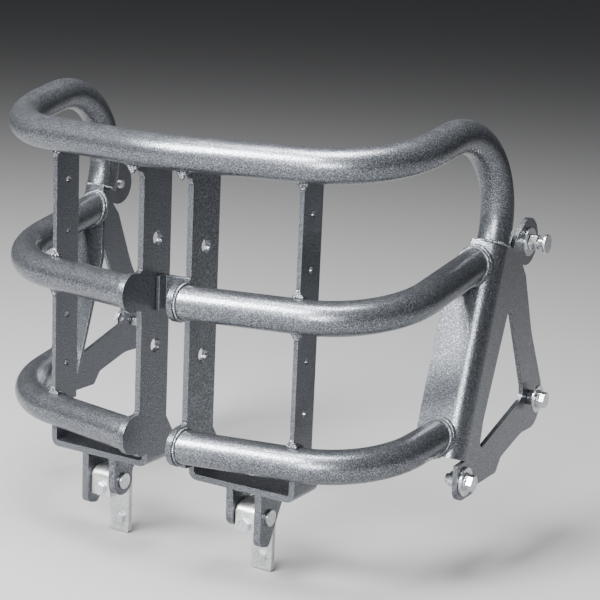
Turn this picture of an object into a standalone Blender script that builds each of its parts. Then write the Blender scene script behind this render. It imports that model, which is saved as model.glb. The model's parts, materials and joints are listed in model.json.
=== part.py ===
"""Front grille guard: three bent tubes on drilled uprights, folded side brackets, two tilt hinges.

Units are metres, +Z is up, the nose faces -Y and +X is the guard's left-hand side seen from the seat.
The pieces are laid out from the middle plane and the lower tube's straight front run, then moved so that
the origin lies between the straps' rear faces, level with the hinge pins.
"""
import math

import bpy
import bmesh
from mathutils import Matrix, Vector

GAP = 0.0003                        # clearance left between pieces that touch

# Tubes
TUBE_RADIUS = 0.0212
TUBE_WALL = 0.0026
TUBE_SIDES = 16
NOSE_SWEEP = math.radians(11.0)     # each half of the nose sweeps back by this angle
NOSE_BEND = 0.300
CORNER_BEND = 0.128
KNEE_BEND = 0.104
TOP_Z = 0.362
MIDDLE_Z = 0.183
LOWER_Z = 0.0
TOP_NOSE_Y = -0.007                 # where the two swept halves of each tube would meet
MIDDLE_NOSE_Y = -0.005
LOWER_NOSE_Y = 0.001
TOP_CORNER_X = 0.288
MIDDLE_CORNER_X = 0.288
LOWER_CORNER_X = 0.276

# Posts: the top tube's turned-down ends and the brackets' folds share this leaning axis
POST_X = 0.3095
POST_LEAN = math.radians(18.5)
KNEE_Y = 0.353
KNEE_Z = 0.4266
SEAM_DROP = 0.1866                  # along the post, from the knee's corner to the tube's end
FOOT_DROP = 0.4613                  # along the post, from the knee's corner to the fold's end
MIDDLE_END_X = 0.298                # where the middle and lower tubes meet the flange
MIDDLE_END_Z = 0.224
LOWER_END_X = 0.295
LOWER_END_Z = 0.017

# Centre uprights and their bent feet
UPRIGHT_X = 0.036
UPRIGHT_THICKNESS = 0.008
UPRIGHT_FRONT_Y = 0.0184
UPRIGHT_DEPTH = 0.058
UPRIGHT_TOP_DROP = 0.010            # the upright stops this far under the top tube's centre
EAR_RADIUS = 0.025
EAR_BLEND = 0.006
UPRIGHT_HOLE_Z = (0.2457, 0.1091)
UPRIGHT_HOLE_Y = 0.0485
UPRIGHT_HOLE_RADIUS = 0.0095
FOOT_FRONT_Y = 0.036
FOOT_REAR_Y = 0.092
FOOT_BOTTOM_Z = -0.050
FOOT_OUTER_X = 0.186
FOOT_BEND = 0.012
FOOT_FLARE_Z = (-0.014, 0.010)      # the upright widens to its foot between these heights
FOOT_NECK = 0.006                   # straight edge between the foot's fold and the lowest ear
TOP_HORN = ((0.0, 0.038), (0.004, 0.031))   # front edge under the top tube: (forward, drop)
TOP_HORN_DROP = 0.004
LIP_BEND = 0.010
UPRIGHT_SEAT_GAP = 0.0013            # room between an upright's seat and the top tube

# Outer bars
BAR_X = 0.1813
BAR_THICKNESS = 0.006
BAR_FRONT_Y = 0.0327
BAR_DEPTH = 0.044
BAR_HOLE_Y = 0.0557
BAR_HOLE_RADIUS = 0.0045
UPPER_BAR_HOLE_Z = (0.3014, 0.2353)
LOWER_BAR_HOLE_Z = (0.1237, 0.0590)
BAR_END_INSET = 0.008               # each bar stops this far short of the tube's centre height
BAR_SEAT_GAP = 0.0015               # room between a bar's seat and the swept tube

# Link plate between the uprights
LINK_Y = 0.060
LINK_Z = 0.176
LINK_HEIGHT = 0.044
LINK_THICKNESS = 0.006
LINK_TAB_DEPTH = 0.014

# Tilt hinges
PIN_Y = 0.060
PIN_Z = -0.085
PIN_RADIUS = 0.005
PIN_CLEARANCE = 0.00015
PIN_HEAD_RADIUS = 0.0105
PIN_HEAD_THICKNESS = 0.003
PIN_TAIL = 0.006
RING_RADIUS = 0.009
RING_THICKNESS = 0.0015
HINGE_X = 0.112
BLOCK_WIDTH = 0.030
LUG_THICKNESS = 0.010
LUG_SIDE_CLEARANCE = 0.001
LUG_FRONT_Y = 0.040
LUG_REAR_Y = 0.090
LUG_END_RADIUS = 0.019
LUG_END_EASE = 0.001
LUG_WAIST_ROUND = 0.007
INNER_LUG_HEEL = 0.010              # height of the rear edge under the foot
INNER_LUG_WAIST = 0.026
OUTER_LUG_HEEL = 0.022
OUTER_LUG_TIP_Z = -0.124
OUTER_LUG_TIP_BACK = 0.001          # the tip stands this far behind the pin
OUTER_LUG_TOE_RISE = 0.006
OUTER_LUG_TOE_ROUND = 0.010
BLOCK_EYE_RADIUS = 0.014
BLOCK_BOTTOM_Z = -0.107
BLOCK_REAR_Y = 0.087                # the strap stands behind this face
BLOCK_EDGE = 0.001
STRAP_THICKNESS = 0.008
STRAP_CORNER = 0.003
STRAP_TOP_Z = -0.066
STRAP_BOTTOM_Z = -0.168
STRAP_BOLT_Z = -0.150
BLOCK_BOLT_Z = -0.0965
SMALL_BOLT_RADIUS = 0.004
SMALL_HEX_FLATS = 0.015
SMALL_HEAD_HEIGHT = 0.0055
SMALL_BOLT_TAIL = 0.014

# Side brackets
PLATE_THICKNESS = 0.006
FLANGE_EDGE_X = 0.266
SEAM_NOTCH = 0.017                  # the plate's top edge clears the tube's end by this width
EAR_PLATE_RADIUS = 0.031            # the plate's round end at the upper bolt
EAR_PLATE_SWEEP = (-115, 112)       # degrees, from the plate's rear edge round to its top edge
SEAM_RISE = (0.008, 0.012)          # the top edge climbs from the notch by this much (Y, Z)
FOOT_STEP = 0.001                   # the lower lobe starts this far under the fold's end
LOWER_LOBE = ((-0.022, -0.024, 0.020), (0.028, -0.024, 0.012), (0.040, -0.015, 0.010))   # from lower bolt
LOWER_EDGE = ((0.304, -0.052, 0.006), (0.318, -0.034, 0.010), (0.380, -0.017, 0.060))    # Y, Z, radius
MIDDLE_LOBE = ((0.038, -0.046, 0.026), (0.040, 0.010, 0.020))                            # from middle bolt
REAR_EDGE = ((0.3905, 0.121, 0.200), (0.357, 0.203, 0.012))
WINDOW_CORNERS = ((0.313, 0.174, 0.008), (0.382, 0.034, 0.014), (0.246, -0.008, 0.007), (0.253, 0.030, 0.030))
FLANGE_SLANT_START = 0.172          # along the post, height above the foot where the slant begins
FLANGE_TOP_X = 0.290

# Side bolts
BOLT_RADIUS = 0.006
BOLT_CLEARANCE = 0.0005
HEX_FLATS = 0.019
HEX_HEIGHT = 0.0075
BIG_WASHER_RADIUS = 0.0185
BIG_WASHER_THICKNESS = 0.003
SMALL_WASHER_RADIUS = 0.012
SMALL_WASHER_THICKNESS = 0.0025
UPPER_BOLT_YZ = (0.357, 0.246)
UPPER_NUT_HEIGHT = 0.0105
UPPER_SHANK_SHOWN = 0.009
UPPER_DISC_RADIUS = 0.0125
UPPER_DISC_THICKNESS = 0.004
MIDDLE_BOLT_YZ = (0.400, 0.028)
BOSS_RADIUS = 0.010
BOSS_LENGTH = 0.010
LOWER_BOLT_YZ = (0.206, -0.037)
SPACER_RADIUS = 0.010
SPACER_LENGTH = 0.012
SIDE_BOLT_TAIL = 0.006               # bolt shown past the plate or its spacer

FIXED_PIECES = ("hinge_block", "hinge_strap", "block_bolt", "strap_bolt", "hinge_pin", "pin_ring")
COLLECTION = "front_grille_guard"
PAINT = ("hammered_silver_paint", (0.20, 0.21, 0.22), 0.38, 0.75)
ZINC = ("zinc_plate", (0.62, 0.63, 0.62), 0.30, 1.0)
GALVANISED = ("galvanised_steel", (0.52, 0.53, 0.50), 0.48, 0.9)
BLACK = ("black_phosphate_steel", (0.05, 0.05, 0.055), 0.45, 0.6)


def clear_scene():
    """Remove whatever the scene holds."""
    for scene_object in list(bpy.data.objects):
        bpy.data.objects.remove(scene_object, do_unlink=True)


def collection(name):
    """Return the named collection, linked to the scene."""
    found = bpy.data.collections.get(name)
    if found is None:
        found = bpy.data.collections.new(name)
        bpy.context.scene.collection.children.link(found)
    return found


def material(spec):
    """Return a Principled material for a (name, colour, roughness, metallic) finish."""
    name, colour, roughness, metallic = spec
    found = bpy.data.materials.get(name)
    if found is None:
        found = bpy.data.materials.new(name)
        found.use_nodes = True
        shader = found.node_tree.nodes["Principled BSDF"]
        shader.inputs["Base Color"].default_value = (*colour, 1.0)
        shader.inputs["Roughness"].default_value = roughness
        shader.inputs["Metallic"].default_value = metallic
        found.diffuse_color = (*colour, 1.0)
    return found


# Frames: local X and Y span the outline, local Z is its thickness
def side_frame(x):
    """Outline in world Y and Z, thickness along X."""
    return Matrix(((0, 0, 1, x), (1, 0, 0, 0), (0, 1, 0, 0), (0, 0, 0, 1)))


def front_frame(y):
    """Outline in world X and Z, thickness along -Y."""
    return Matrix(((1, 0, 0, 0), (0, 0, -1, y), (0, 1, 0, 0), (0, 0, 0, 1)))


def post_frame(side, drop):
    """Outline across the post: X outward, Y rearward, thickness along the post, centred at a drop."""
    up = Vector((0, math.sin(POST_LEAN), math.cos(POST_LEAN)))
    rear = Vector((0, math.cos(POST_LEAN), -math.sin(POST_LEAN)))
    centre = Vector((0, KNEE_Y, KNEE_Z)) - up * drop
    columns = (Vector((side, 0, 0)), rear, up * side)
    frame = Matrix((columns[0], columns[1], columns[2])).transposed().to_4x4()
    frame.translation = centre
    return frame


def circle_points(u, v, radius, sides=24):
    """Points of a full circle."""
    step = math.tau / sides
    return [(u + radius * math.cos(i * step), v + radius * math.sin(i * step)) for i in range(sides)]


def arc_points(u, v, radius, start, end, steps):
    """Points of an arc between two angles in degrees, both ends included."""
    turns = [math.radians(start + (end - start) * i / steps) for i in range(steps + 1)]
    return [(u + radius * math.cos(turn), v + radius * math.sin(turn)) for turn in turns]


def rounded(corners, steps=5):
    """Outline through (u, v, radius) corners, each rounded by its radius."""
    outline = []
    count = len(corners)
    for index, (u, v, radius) in enumerate(corners):
        here = Vector((u, v))
        if radius == 0:
            outline.append((u, v))
            continue
        before = (Vector(corners[index - 1][:2]) - here).normalized()
        after = (Vector(corners[(index + 1) % count][:2]) - here).normalized()
        half = before.angle(after) / 2
        reach = radius / math.tan(half)
        centre = here + (before + after).normalized() * radius / math.sin(half)
        first = here + before * reach - centre
        last = here + after * reach - centre
        sweep = first.angle_signed(last)
        for step in range(steps + 1):
            spoke = first.copy()
            spoke.rotate(Matrix.Rotation(-sweep * step / steps, 2))
            outline.append(tuple(centre + spoke))
    return outline


def link_mesh(name, mesh, finish, where=COLLECTION):
    """Make an object for a mesh, dressed and linked."""
    made = bpy.data.objects.new(name, mesh)
    collection(where).objects.link(made)
    mesh.materials.clear()
    mesh.materials.append(material(finish))
    return made


def mesh_of(source):
    """Return the evaluated mesh of an object in world space, and remove the object."""
    bpy.context.view_layer.update()
    evaluated = source.evaluated_get(bpy.context.evaluated_depsgraph_get())
    mesh = bpy.data.meshes.new_from_object(evaluated)
    mesh.transform(source.matrix_world)
    if source.matrix_world.determinant() < 0:
        mesh.flip_normals()
    bpy.data.objects.remove(source, do_unlink=True)
    return mesh


def weld(mesh):
    """Join a curve's loose caps to its sides."""
    shape = bmesh.new()
    shape.from_mesh(mesh)
    bmesh.ops.remove_doubles(shape, verts=shape.verts, dist=0.00001)
    shape.to_mesh(mesh)
    shape.free()
    return mesh


def plate(name, outline, thickness, frame, finish=PAINT, holes=()):
    """Flat plate from an outline and round or shaped holes, centred on its frame."""
    curve = bpy.data.curves.new(name, "CURVE")
    curve.dimensions = "2D"
    curve.fill_mode = "BOTH"
    curve.extrude = thickness / 2
    for loop in (outline, *holes):
        spline = curve.splines.new("POLY")
        spline.points.add(len(loop) - 1)
        for point, (u, v) in zip(spline.points, loop):
            point.co = (u, v, 0, 1)
        spline.use_cyclic_u = True
    flat = bpy.data.objects.new(name, curve)
    collection(COLLECTION).objects.link(flat)
    flat.matrix_world = frame
    return link_mesh(name, weld(mesh_of(flat)), finish)


def rod(name, radius, start_x, end_x, yz, finish, sides=20):
    """Cylinder along X between two positions."""
    mesh = bpy.data.meshes.new(name)
    shape = bmesh.new()
    bmesh.ops.create_cone(shape, cap_ends=True, segments=sides, radius1=radius, radius2=radius,
                          depth=abs(end_x - start_x))
    turn = Matrix.Rotation(math.pi / 2, 4, "Y")
    place = Matrix.Translation(((start_x + end_x) / 2, *yz))
    bmesh.ops.transform(shape, matrix=place @ turn, verts=shape.verts)
    shape.to_mesh(mesh)
    shape.free()
    return link_mesh(name, mesh, finish)


def rod_along_y(name, radius, start_y, end_y, xz, finish, sides=20):
    """Cylinder along Y between two positions."""
    mesh = bpy.data.meshes.new(name)
    shape = bmesh.new()
    bmesh.ops.create_cone(shape, cap_ends=True, segments=sides, radius1=radius, radius2=radius,
                          depth=abs(end_y - start_y))
    turn = Matrix.Rotation(math.pi / 2, 4, "X")
    place = Matrix.Translation((xz[0], (start_y + end_y) / 2, xz[1]))
    bmesh.ops.transform(shape, matrix=place @ turn, verts=shape.verts)
    shape.to_mesh(mesh)
    shape.free()
    return link_mesh(name, mesh, finish)


def combine(target, tool, operation):
    """Apply an exact Boolean to a target and remove the tool."""
    modifier = target.modifiers.new("combine", "BOOLEAN")
    modifier.operation = operation
    modifier.solver = "EXACT"
    modifier.object = tool
    name = target.name
    finish = target.data.materials[0]
    mesh = mesh_of(target)
    bpy.data.objects.remove(tool, do_unlink=True)
    mesh.materials.clear()
    mesh.materials.append(finish)
    result = bpy.data.objects.new(name, mesh)
    collection(COLLECTION).objects.link(result)
    return result


def smooth(made, angle=35):
    """Shade round faces smooth and keep edges sharper than an angle."""
    made.data.shade_smooth()
    made.data.set_sharp_from_angle(angle=math.radians(angle))
    return made


def bent_path(corners):
    """Centre line through (point, bend radius) corners, with arcs at the bends."""
    path = []
    for index, (point, radius) in enumerate(corners):
        here = Vector(point)
        if radius == 0:
            path.append(here)
            continue
        before = (Vector(corners[index - 1][0]) - here).normalized()
        after = (Vector(corners[index + 1][0]) - here).normalized()
        half = before.angle(after) / 2
        reach = radius / math.tan(half)
        centre = here + (before + after).normalized() * radius / math.sin(half)
        first = here + before * reach - centre
        last = here + after * reach - centre
        axis = first.cross(last).normalized()
        turn = first.angle(last)
        steps = max(3, round(math.degrees(turn) / 12))
        for step in range(steps + 1):
            path.append(centre + Matrix.Rotation(turn * step / steps, 3, axis) @ first)
    return path


def tube(name, corners, radius=TUBE_RADIUS, wall=TUBE_WALL):
    """Bent tube along rounded corners: a hollow pipe, or solid when the wall is zero."""
    path = bent_path(corners)
    curve = bpy.data.curves.new(name, "CURVE")
    curve.dimensions = "3D"
    curve.bevel_depth = radius
    curve.bevel_resolution = (TUBE_SIDES - 4) // 2
    curve.use_fill_caps = wall == 0
    spline = curve.splines.new("POLY")
    spline.points.add(len(path) - 1)
    for point, place in zip(spline.points, path):
        point.co = (*place, 1)
    line = bpy.data.objects.new(name, curve)
    collection(COLLECTION).objects.link(line)
    made = link_mesh(name, weld(mesh_of(line)), PAINT)
    if wall > 0:
        shell = made.modifiers.new("wall", "SOLIDIFY")
        shell.thickness = wall
        shell.offset = -1
        made = link_mesh(name, mesh_of(made), PAINT)
    return made


def post_axis_y(z):
    """Y of the post's axis at a height."""
    return KNEE_Y - (KNEE_Z - z) * math.tan(POST_LEAN)


def post_front_y(z):
    """Y of the flange's front face at a height."""
    return post_axis_y(z) - TUBE_RADIUS / math.cos(POST_LEAN)


def along_post(drop):
    """(Y, Z) of the post's axis a distance down from the knee's corner."""
    return KNEE_Y - drop * math.sin(POST_LEAN), KNEE_Z - drop * math.cos(POST_LEAN)


def swept_y(nose_y, x):
    """Y of a swept half's centre line, clear of the nose bend."""
    return nose_y + abs(x) * math.tan(NOSE_SWEEP)


def near_nose_y(nose_y, x):
    """Y of a tube's centre line inside the nose bend."""
    return nose_y + NOSE_BEND / math.cos(NOSE_SWEEP) - math.sqrt(NOSE_BEND ** 2 - x ** 2)


def bolt(name, radius, head_x, end_x, yz, flats, head_height, direction):
    """Hex bolt along X: the head starts at head_x and grows in the direction, the shank ends at end_x."""
    corner = flats / math.sqrt(3)
    head = rod(name, corner, head_x, head_x + direction * head_height, yz, ZINC, 6)
    shank = rod(name + "_shank", radius, head_x + direction * head_height / 2, end_x, yz, ZINC)
    return combine(head, shank, "UNION")


def washer(name, radius, hole, start_x, thickness, yz, finish=ZINC):
    """Flat ring along X that starts at start_x; a negative thickness grows towards -X."""
    frame = side_frame(start_x + thickness / 2)
    return smooth(plate(name, circle_points(*yz, radius), abs(thickness), frame, finish,
                        [circle_points(*yz, hole, 20)]))


def top_hoop():
    """The top tube, from one post to the other."""
    corner_y = swept_y(TOP_NOSE_Y, TOP_CORNER_X)
    seam = along_post(SEAM_DROP)
    half = [((TOP_CORNER_X, corner_y, TOP_Z), CORNER_BEND), ((POST_X, KNEE_Y, KNEE_Z), KNEE_BEND),
            ((POST_X, *seam), 0)]
    mirrored = [((-x, y, z), radius) for (x, y, z), radius in reversed(half)]
    smooth(tube("top_hoop_tube", mirrored + [((0, TOP_NOSE_Y, TOP_Z), NOSE_BEND)] + half))


def post_envelope(side):
    """Solid that fills a bracket's fold, used to shape the tube ends that meet it."""
    radius = TUBE_RADIUS + GAP
    inner_x = FLANGE_EDGE_X - 3 * TUBE_RADIUS
    outline = arc_points(POST_X, 0, radius, 0, -90, 6)
    outline += [(inner_x, -radius), (inner_x, 4 * TUBE_RADIUS), (POST_X + radius, 4 * TUBE_RADIUS)]
    return plate("post_envelope", outline, FOOT_DROP, post_frame(side, FOOT_DROP / 2), PAINT)


def side_tube(name, side, height, nose_y, corner_x, end_xz):
    """Middle or lower tube of one side, from its centre upright to its bracket's flange."""
    corner = Vector((corner_x, swept_y(nose_y, corner_x), height))
    end = Vector((end_xz[0], post_front_y(end_xz[1]), end_xz[1]))
    beyond = end + (end - corner).normalized() * TUBE_RADIUS * 1.4
    corners = [((0.0, nose_y, height), 0), (corner, CORNER_BEND), (beyond, 0)]
    pipe = tube(name, [((side * x, y, z), radius) for (x, y, z), radius in corners])
    inner_x = UPRIGHT_X + UPRIGHT_THICKNESS / 2 + GAP
    reach = 4 * TUBE_RADIUS
    block = [(-reach, -reach), (reach, -reach), (reach, reach), (-reach, reach)]
    trim = plate("trim", [(nose_y + u, height + v) for u, v in block], 2 * inner_x, side_frame(0))
    pipe = combine(pipe, trim, "DIFFERENCE")
    smooth(combine(pipe, post_envelope(side), "DIFFERENCE"))


def ear_outline(centre_y, centre_z, front_y):
    """Front edge of an upright around one ear, from below to above."""
    spread = math.sqrt((EAR_RADIUS + EAR_BLEND) ** 2 - (front_y - EAR_BLEND - centre_y) ** 2)
    blend_y = front_y - EAR_BLEND
    angle = math.degrees(math.atan2(spread, blend_y - centre_y))
    low = arc_points(blend_y, centre_z - spread, EAR_BLEND, 0, 180 - angle, 3)
    ear = arc_points(centre_y, centre_z, EAR_RADIUS, -angle, -360 + angle, 14)
    high = arc_points(blend_y, centre_z + spread, EAR_BLEND, angle - 180, 0, 3)
    return low + ear + high


def flat_face(name, outline, frame, holes=()):
    """One-sided flat face from an outline and holes, as a bmesh in world space."""
    curve = bpy.data.curves.new(name, "CURVE")
    curve.dimensions = "2D"
    curve.fill_mode = "BOTH"
    for loop in (outline, *holes):
        spline = curve.splines.new("POLY")
        spline.points.add(len(loop) - 1)
        for point, (u, v) in zip(spline.points, loop):
            point.co = (u, v, 0, 1)
        spline.use_cyclic_u = True
    flat = bpy.data.objects.new(name, curve)
    collection(COLLECTION).objects.link(flat)
    flat.matrix_world = frame
    shape = bmesh.new()
    shape.from_mesh(mesh_of(flat))
    bmesh.ops.remove_doubles(shape, verts=shape.verts, dist=0.00001)
    return shape


def edge_between(shape, first, last):
    """The edge whose ends lie at two places."""
    for edge in shape.edges:
        ends = [vert.co for vert in edge.verts]
        if min((ends[0] - first).length + (ends[1] - last).length,
               (ends[1] - first).length + (ends[0] - last).length) < 0.0001:
            return edge
    raise ValueError("no edge between the two places")


def spin_edge(shape, edge, centre, axis, angle, steps):
    """Sweep an edge round an axis and return the edge at the far end."""
    swept = bmesh.ops.spin(shape, geom=[edge], cent=centre, axis=axis, angle=angle, steps=steps)
    return next(item for item in swept["geom_last"] if isinstance(item, bmesh.types.BMEdge))


def push_edge(shape, edge, offset):
    """Extrude an edge by an offset and return the new edge."""
    pushed = bmesh.ops.extrude_edge_only(shape, edges=[edge])["geom"]
    bmesh.ops.translate(shape, vec=offset, verts=[v for v in pushed if isinstance(v, bmesh.types.BMVert)])
    return next(item for item in pushed if isinstance(item, bmesh.types.BMEdge))


def folded_sheet(name, shape, side, thickness, outward):
    """Give a folded face its thickness behind an outward direction, mirrored for the left side."""
    bmesh.ops.recalc_face_normals(shape, faces=shape.faces)
    facing = max(shape.faces, key=lambda face: face.calc_area() * abs(face.normal.dot(Vector(outward))))
    if facing.normal.dot(Vector(outward)) < 0:
        bmesh.ops.reverse_faces(shape, faces=shape.faces)
    if side < 0:
        bmesh.ops.scale(shape, vec=(-1, 1, 1), verts=shape.verts)
        bmesh.ops.reverse_faces(shape, faces=shape.faces)
    mesh = bpy.data.meshes.new(name)
    shape.to_mesh(mesh)
    shape.free()
    sheet = link_mesh(name, mesh, PAINT)
    shell = sheet.modifiers.new("thickness", "SOLIDIFY")
    shell.thickness = thickness
    shell.offset = -1
    shell.use_even_offset = True
    return smooth(link_mesh(name, mesh_of(sheet), PAINT))


def centre_upright(side):
    """Drilled upright with ears around the tubes, bent outward at its foot."""
    label = "left" if side < 0 else "right"
    rear_y = UPRIGHT_FRONT_Y + UPRIGHT_DEPTH
    fold_z = FOOT_BOTTOM_Z + FOOT_BEND
    middle_y = near_nose_y(MIDDLE_NOSE_Y, UPRIGHT_X)
    lower_y = near_nose_y(LOWER_NOSE_Y, UPRIGHT_X)
    top_y = near_nose_y(TOP_NOSE_Y, UPRIGHT_X)
    seat_radius = TUBE_RADIUS + UPRIGHT_SEAT_GAP
    seat_end = -math.degrees(math.asin(UPRIGHT_TOP_DROP / seat_radius))
    outline = [(FOOT_FRONT_Y, fold_z), (FOOT_FRONT_Y, fold_z + FOOT_NECK)]
    outline += ear_outline(lower_y, LOWER_Z, UPRIGHT_FRONT_Y)
    outline += ear_outline(middle_y, MIDDLE_Z, UPRIGHT_FRONT_Y)
    outline += [(UPRIGHT_FRONT_Y - forward, TOP_Z - drop) for forward, drop in TOP_HORN]
    outline += [(top_y, TOP_Z - seat_radius - TOP_HORN_DROP)]
    outline += arc_points(top_y, TOP_Z, seat_radius, -90, seat_end, 6)
    outline += [(rear_y, TOP_Z - UPRIGHT_TOP_DROP), (rear_y, FOOT_FLARE_Z[1]),
                (FOOT_REAR_Y, FOOT_FLARE_Z[0]), (FOOT_REAR_Y, fold_z)]
    holes = [circle_points(UPRIGHT_HOLE_Y, z, UPRIGHT_HOLE_RADIUS, 16) for z in UPRIGHT_HOLE_Z]
    inner = UPRIGHT_X - UPRIGHT_THICKNESS / 2
    sheet = flat_face("blade", outline, side_frame(inner), holes)
    bottom = edge_between(sheet, Vector((inner, FOOT_FRONT_Y, fold_z)), Vector((inner, FOOT_REAR_Y, fold_z)))
    centre = (inner + FOOT_BEND, FOOT_FRONT_Y, fold_z)
    end = spin_edge(sheet, bottom, centre, (0, 1, 0), -math.pi / 2, 5)
    corner_x = FOOT_OUTER_X - LIP_BEND
    end = push_edge(sheet, end, (corner_x - inner - FOOT_BEND, 0, 0))
    end = spin_edge(sheet, end, (corner_x, FOOT_FRONT_Y, FOOT_BOTTOM_Z + LIP_BEND), (0, 1, 0), -math.pi / 2, 3)
    lip_top = LOWER_Z - TUBE_RADIUS - GAP
    push_edge(sheet, end, (0, 0, lip_top - FOOT_BOTTOM_Z - LIP_BEND))
    folded_sheet("centre_upright_" + label, sheet, side, UPRIGHT_THICKNESS, (-1, 0, 0))


def outer_bar(side, upper):
    """Drilled flat bar between two tubes, shaped to them at both ends."""
    label = ("upper" if upper else "lower") + "_outer_bar_" + ("left" if side < 0 else "right")
    low_z, high_z = (MIDDLE_Z, TOP_Z) if upper else (LOWER_Z, MIDDLE_Z)
    low_nose, high_nose = (MIDDLE_NOSE_Y, TOP_NOSE_Y) if upper else (LOWER_NOSE_Y, MIDDLE_NOSE_Y)
    rear_y = BAR_FRONT_Y + BAR_DEPTH
    seat_radius = TUBE_RADIUS + BAR_SEAT_GAP
    outline = seat_points(swept_y(low_nose, BAR_X), low_z, seat_radius, 1)
    outline += [(rear_y, low_z + BAR_END_INSET), (rear_y, high_z - BAR_END_INSET)]
    outline += seat_points(swept_y(high_nose, BAR_X), high_z, seat_radius, -1)
    heights = UPPER_BAR_HOLE_Z if upper else LOWER_BAR_HOLE_Z
    holes = [circle_points(BAR_HOLE_Y, z, BAR_HOLE_RADIUS, 16) for z in heights]
    smooth(plate(label, outline, BAR_THICKNESS, side_frame(side * BAR_X), PAINT, holes))


def seat_points(centre_y, centre_z, radius, above):
    """Arc of a bar's end round a tube, ordered front to rear above it or rear to front below it."""
    front = math.degrees(math.acos((BAR_FRONT_Y - centre_y) / radius))
    rear = math.degrees(math.asin(BAR_END_INSET / radius))
    if above > 0:
        return arc_points(centre_y, centre_z, radius, front, rear, 5)
    return arc_points(centre_y, centre_z, radius, -rear, -front, 5)


def link_plate():
    """Plate that ties the uprights, with a tab bent forward at its left end."""
    reach = UPRIGHT_X - UPRIGHT_THICKNESS / 2 - GAP
    wall = [(-reach, LINK_Y - LINK_TAB_DEPTH), (-reach + LINK_THICKNESS, LINK_Y - LINK_TAB_DEPTH),
            (-reach + LINK_THICKNESS, LINK_Y), (reach, LINK_Y), (reach, LINK_Y + LINK_THICKNESS),
            (-reach, LINK_Y + LINK_THICKNESS)]
    plate("centre_link_plate", wall, LINK_HEIGHT, Matrix.Translation((0, 0, LINK_Z)))


def hinge_lugs(side):
    """The inner and outer lug of one hinge, under the upright's foot."""
    label = "left" if side < 0 else "right"
    top = FOOT_BOTTOM_Z - GAP
    offset = BLOCK_WIDTH / 2 + LUG_SIDE_CLEARANCE + LUG_THICKNESS / 2
    bore = [circle_points(PIN_Y, PIN_Z, PIN_RADIUS + PIN_CLEARANCE)]
    low, front, rear = PIN_Z - LUG_END_RADIUS, PIN_Y - LUG_END_RADIUS, PIN_Y + LUG_END_RADIUS
    end_round = LUG_END_RADIUS - LUG_END_EASE
    inner = rounded([(LUG_FRONT_Y, top, 0), (LUG_REAR_Y, top, 0),
                     (LUG_REAR_Y, top - INNER_LUG_HEEL, INNER_LUG_HEEL / 2),
                     (rear, top - INNER_LUG_WAIST, LUG_WAIST_ROUND), (rear, low, end_round),
                     (front, low, end_round), (front, top - LUG_END_RADIUS / 3, 0)])
    outer = rounded([(LUG_FRONT_Y, top, 0), (LUG_REAR_Y, top, 0),
                     (LUG_REAR_Y, top - OUTER_LUG_HEEL, LUG_WAIST_ROUND),
                     (PIN_Y + OUTER_LUG_TIP_BACK, OUTER_LUG_TIP_Z, LUG_WAIST_ROUND),
                     (LUG_FRONT_Y, OUTER_LUG_TIP_Z + OUTER_LUG_TOE_RISE, OUTER_LUG_TOE_ROUND)])
    smooth(plate("inner_hinge_lug_" + label, inner, LUG_THICKNESS,
                 side_frame(side * (HINGE_X - offset)), PAINT, bore))
    smooth(plate("outer_hinge_lug_" + label, outer, LUG_THICKNESS,
                 side_frame(side * (HINGE_X + offset)), PAINT, bore))


def hinge_pin(side):
    """Pin through both lugs and the block, its flat head on the +X side, with a retaining ring."""
    label = "left" if side < 0 else "right"
    half_span = BLOCK_WIDTH / 2 + LUG_SIDE_CLEARANCE + LUG_THICKNESS + GAP
    head_x = side * HINGE_X + half_span
    tail_x = side * HINGE_X - half_span
    head = rod("hinge_pin_" + label, PIN_HEAD_RADIUS, head_x, head_x + PIN_HEAD_THICKNESS,
               (PIN_Y, PIN_Z), ZINC, 24)
    shank = rod("shank", PIN_RADIUS, tail_x - PIN_TAIL, head_x + PIN_HEAD_THICKNESS / 2,
                (PIN_Y, PIN_Z), ZINC, 24)
    smooth(combine(head, shank, "UNION"))
    washer("pin_ring_" + label, RING_RADIUS, PIN_RADIUS + PIN_CLEARANCE, tail_x - GAP,
           -RING_THICKNESS, (PIN_Y, PIN_Z), BLACK)


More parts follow.
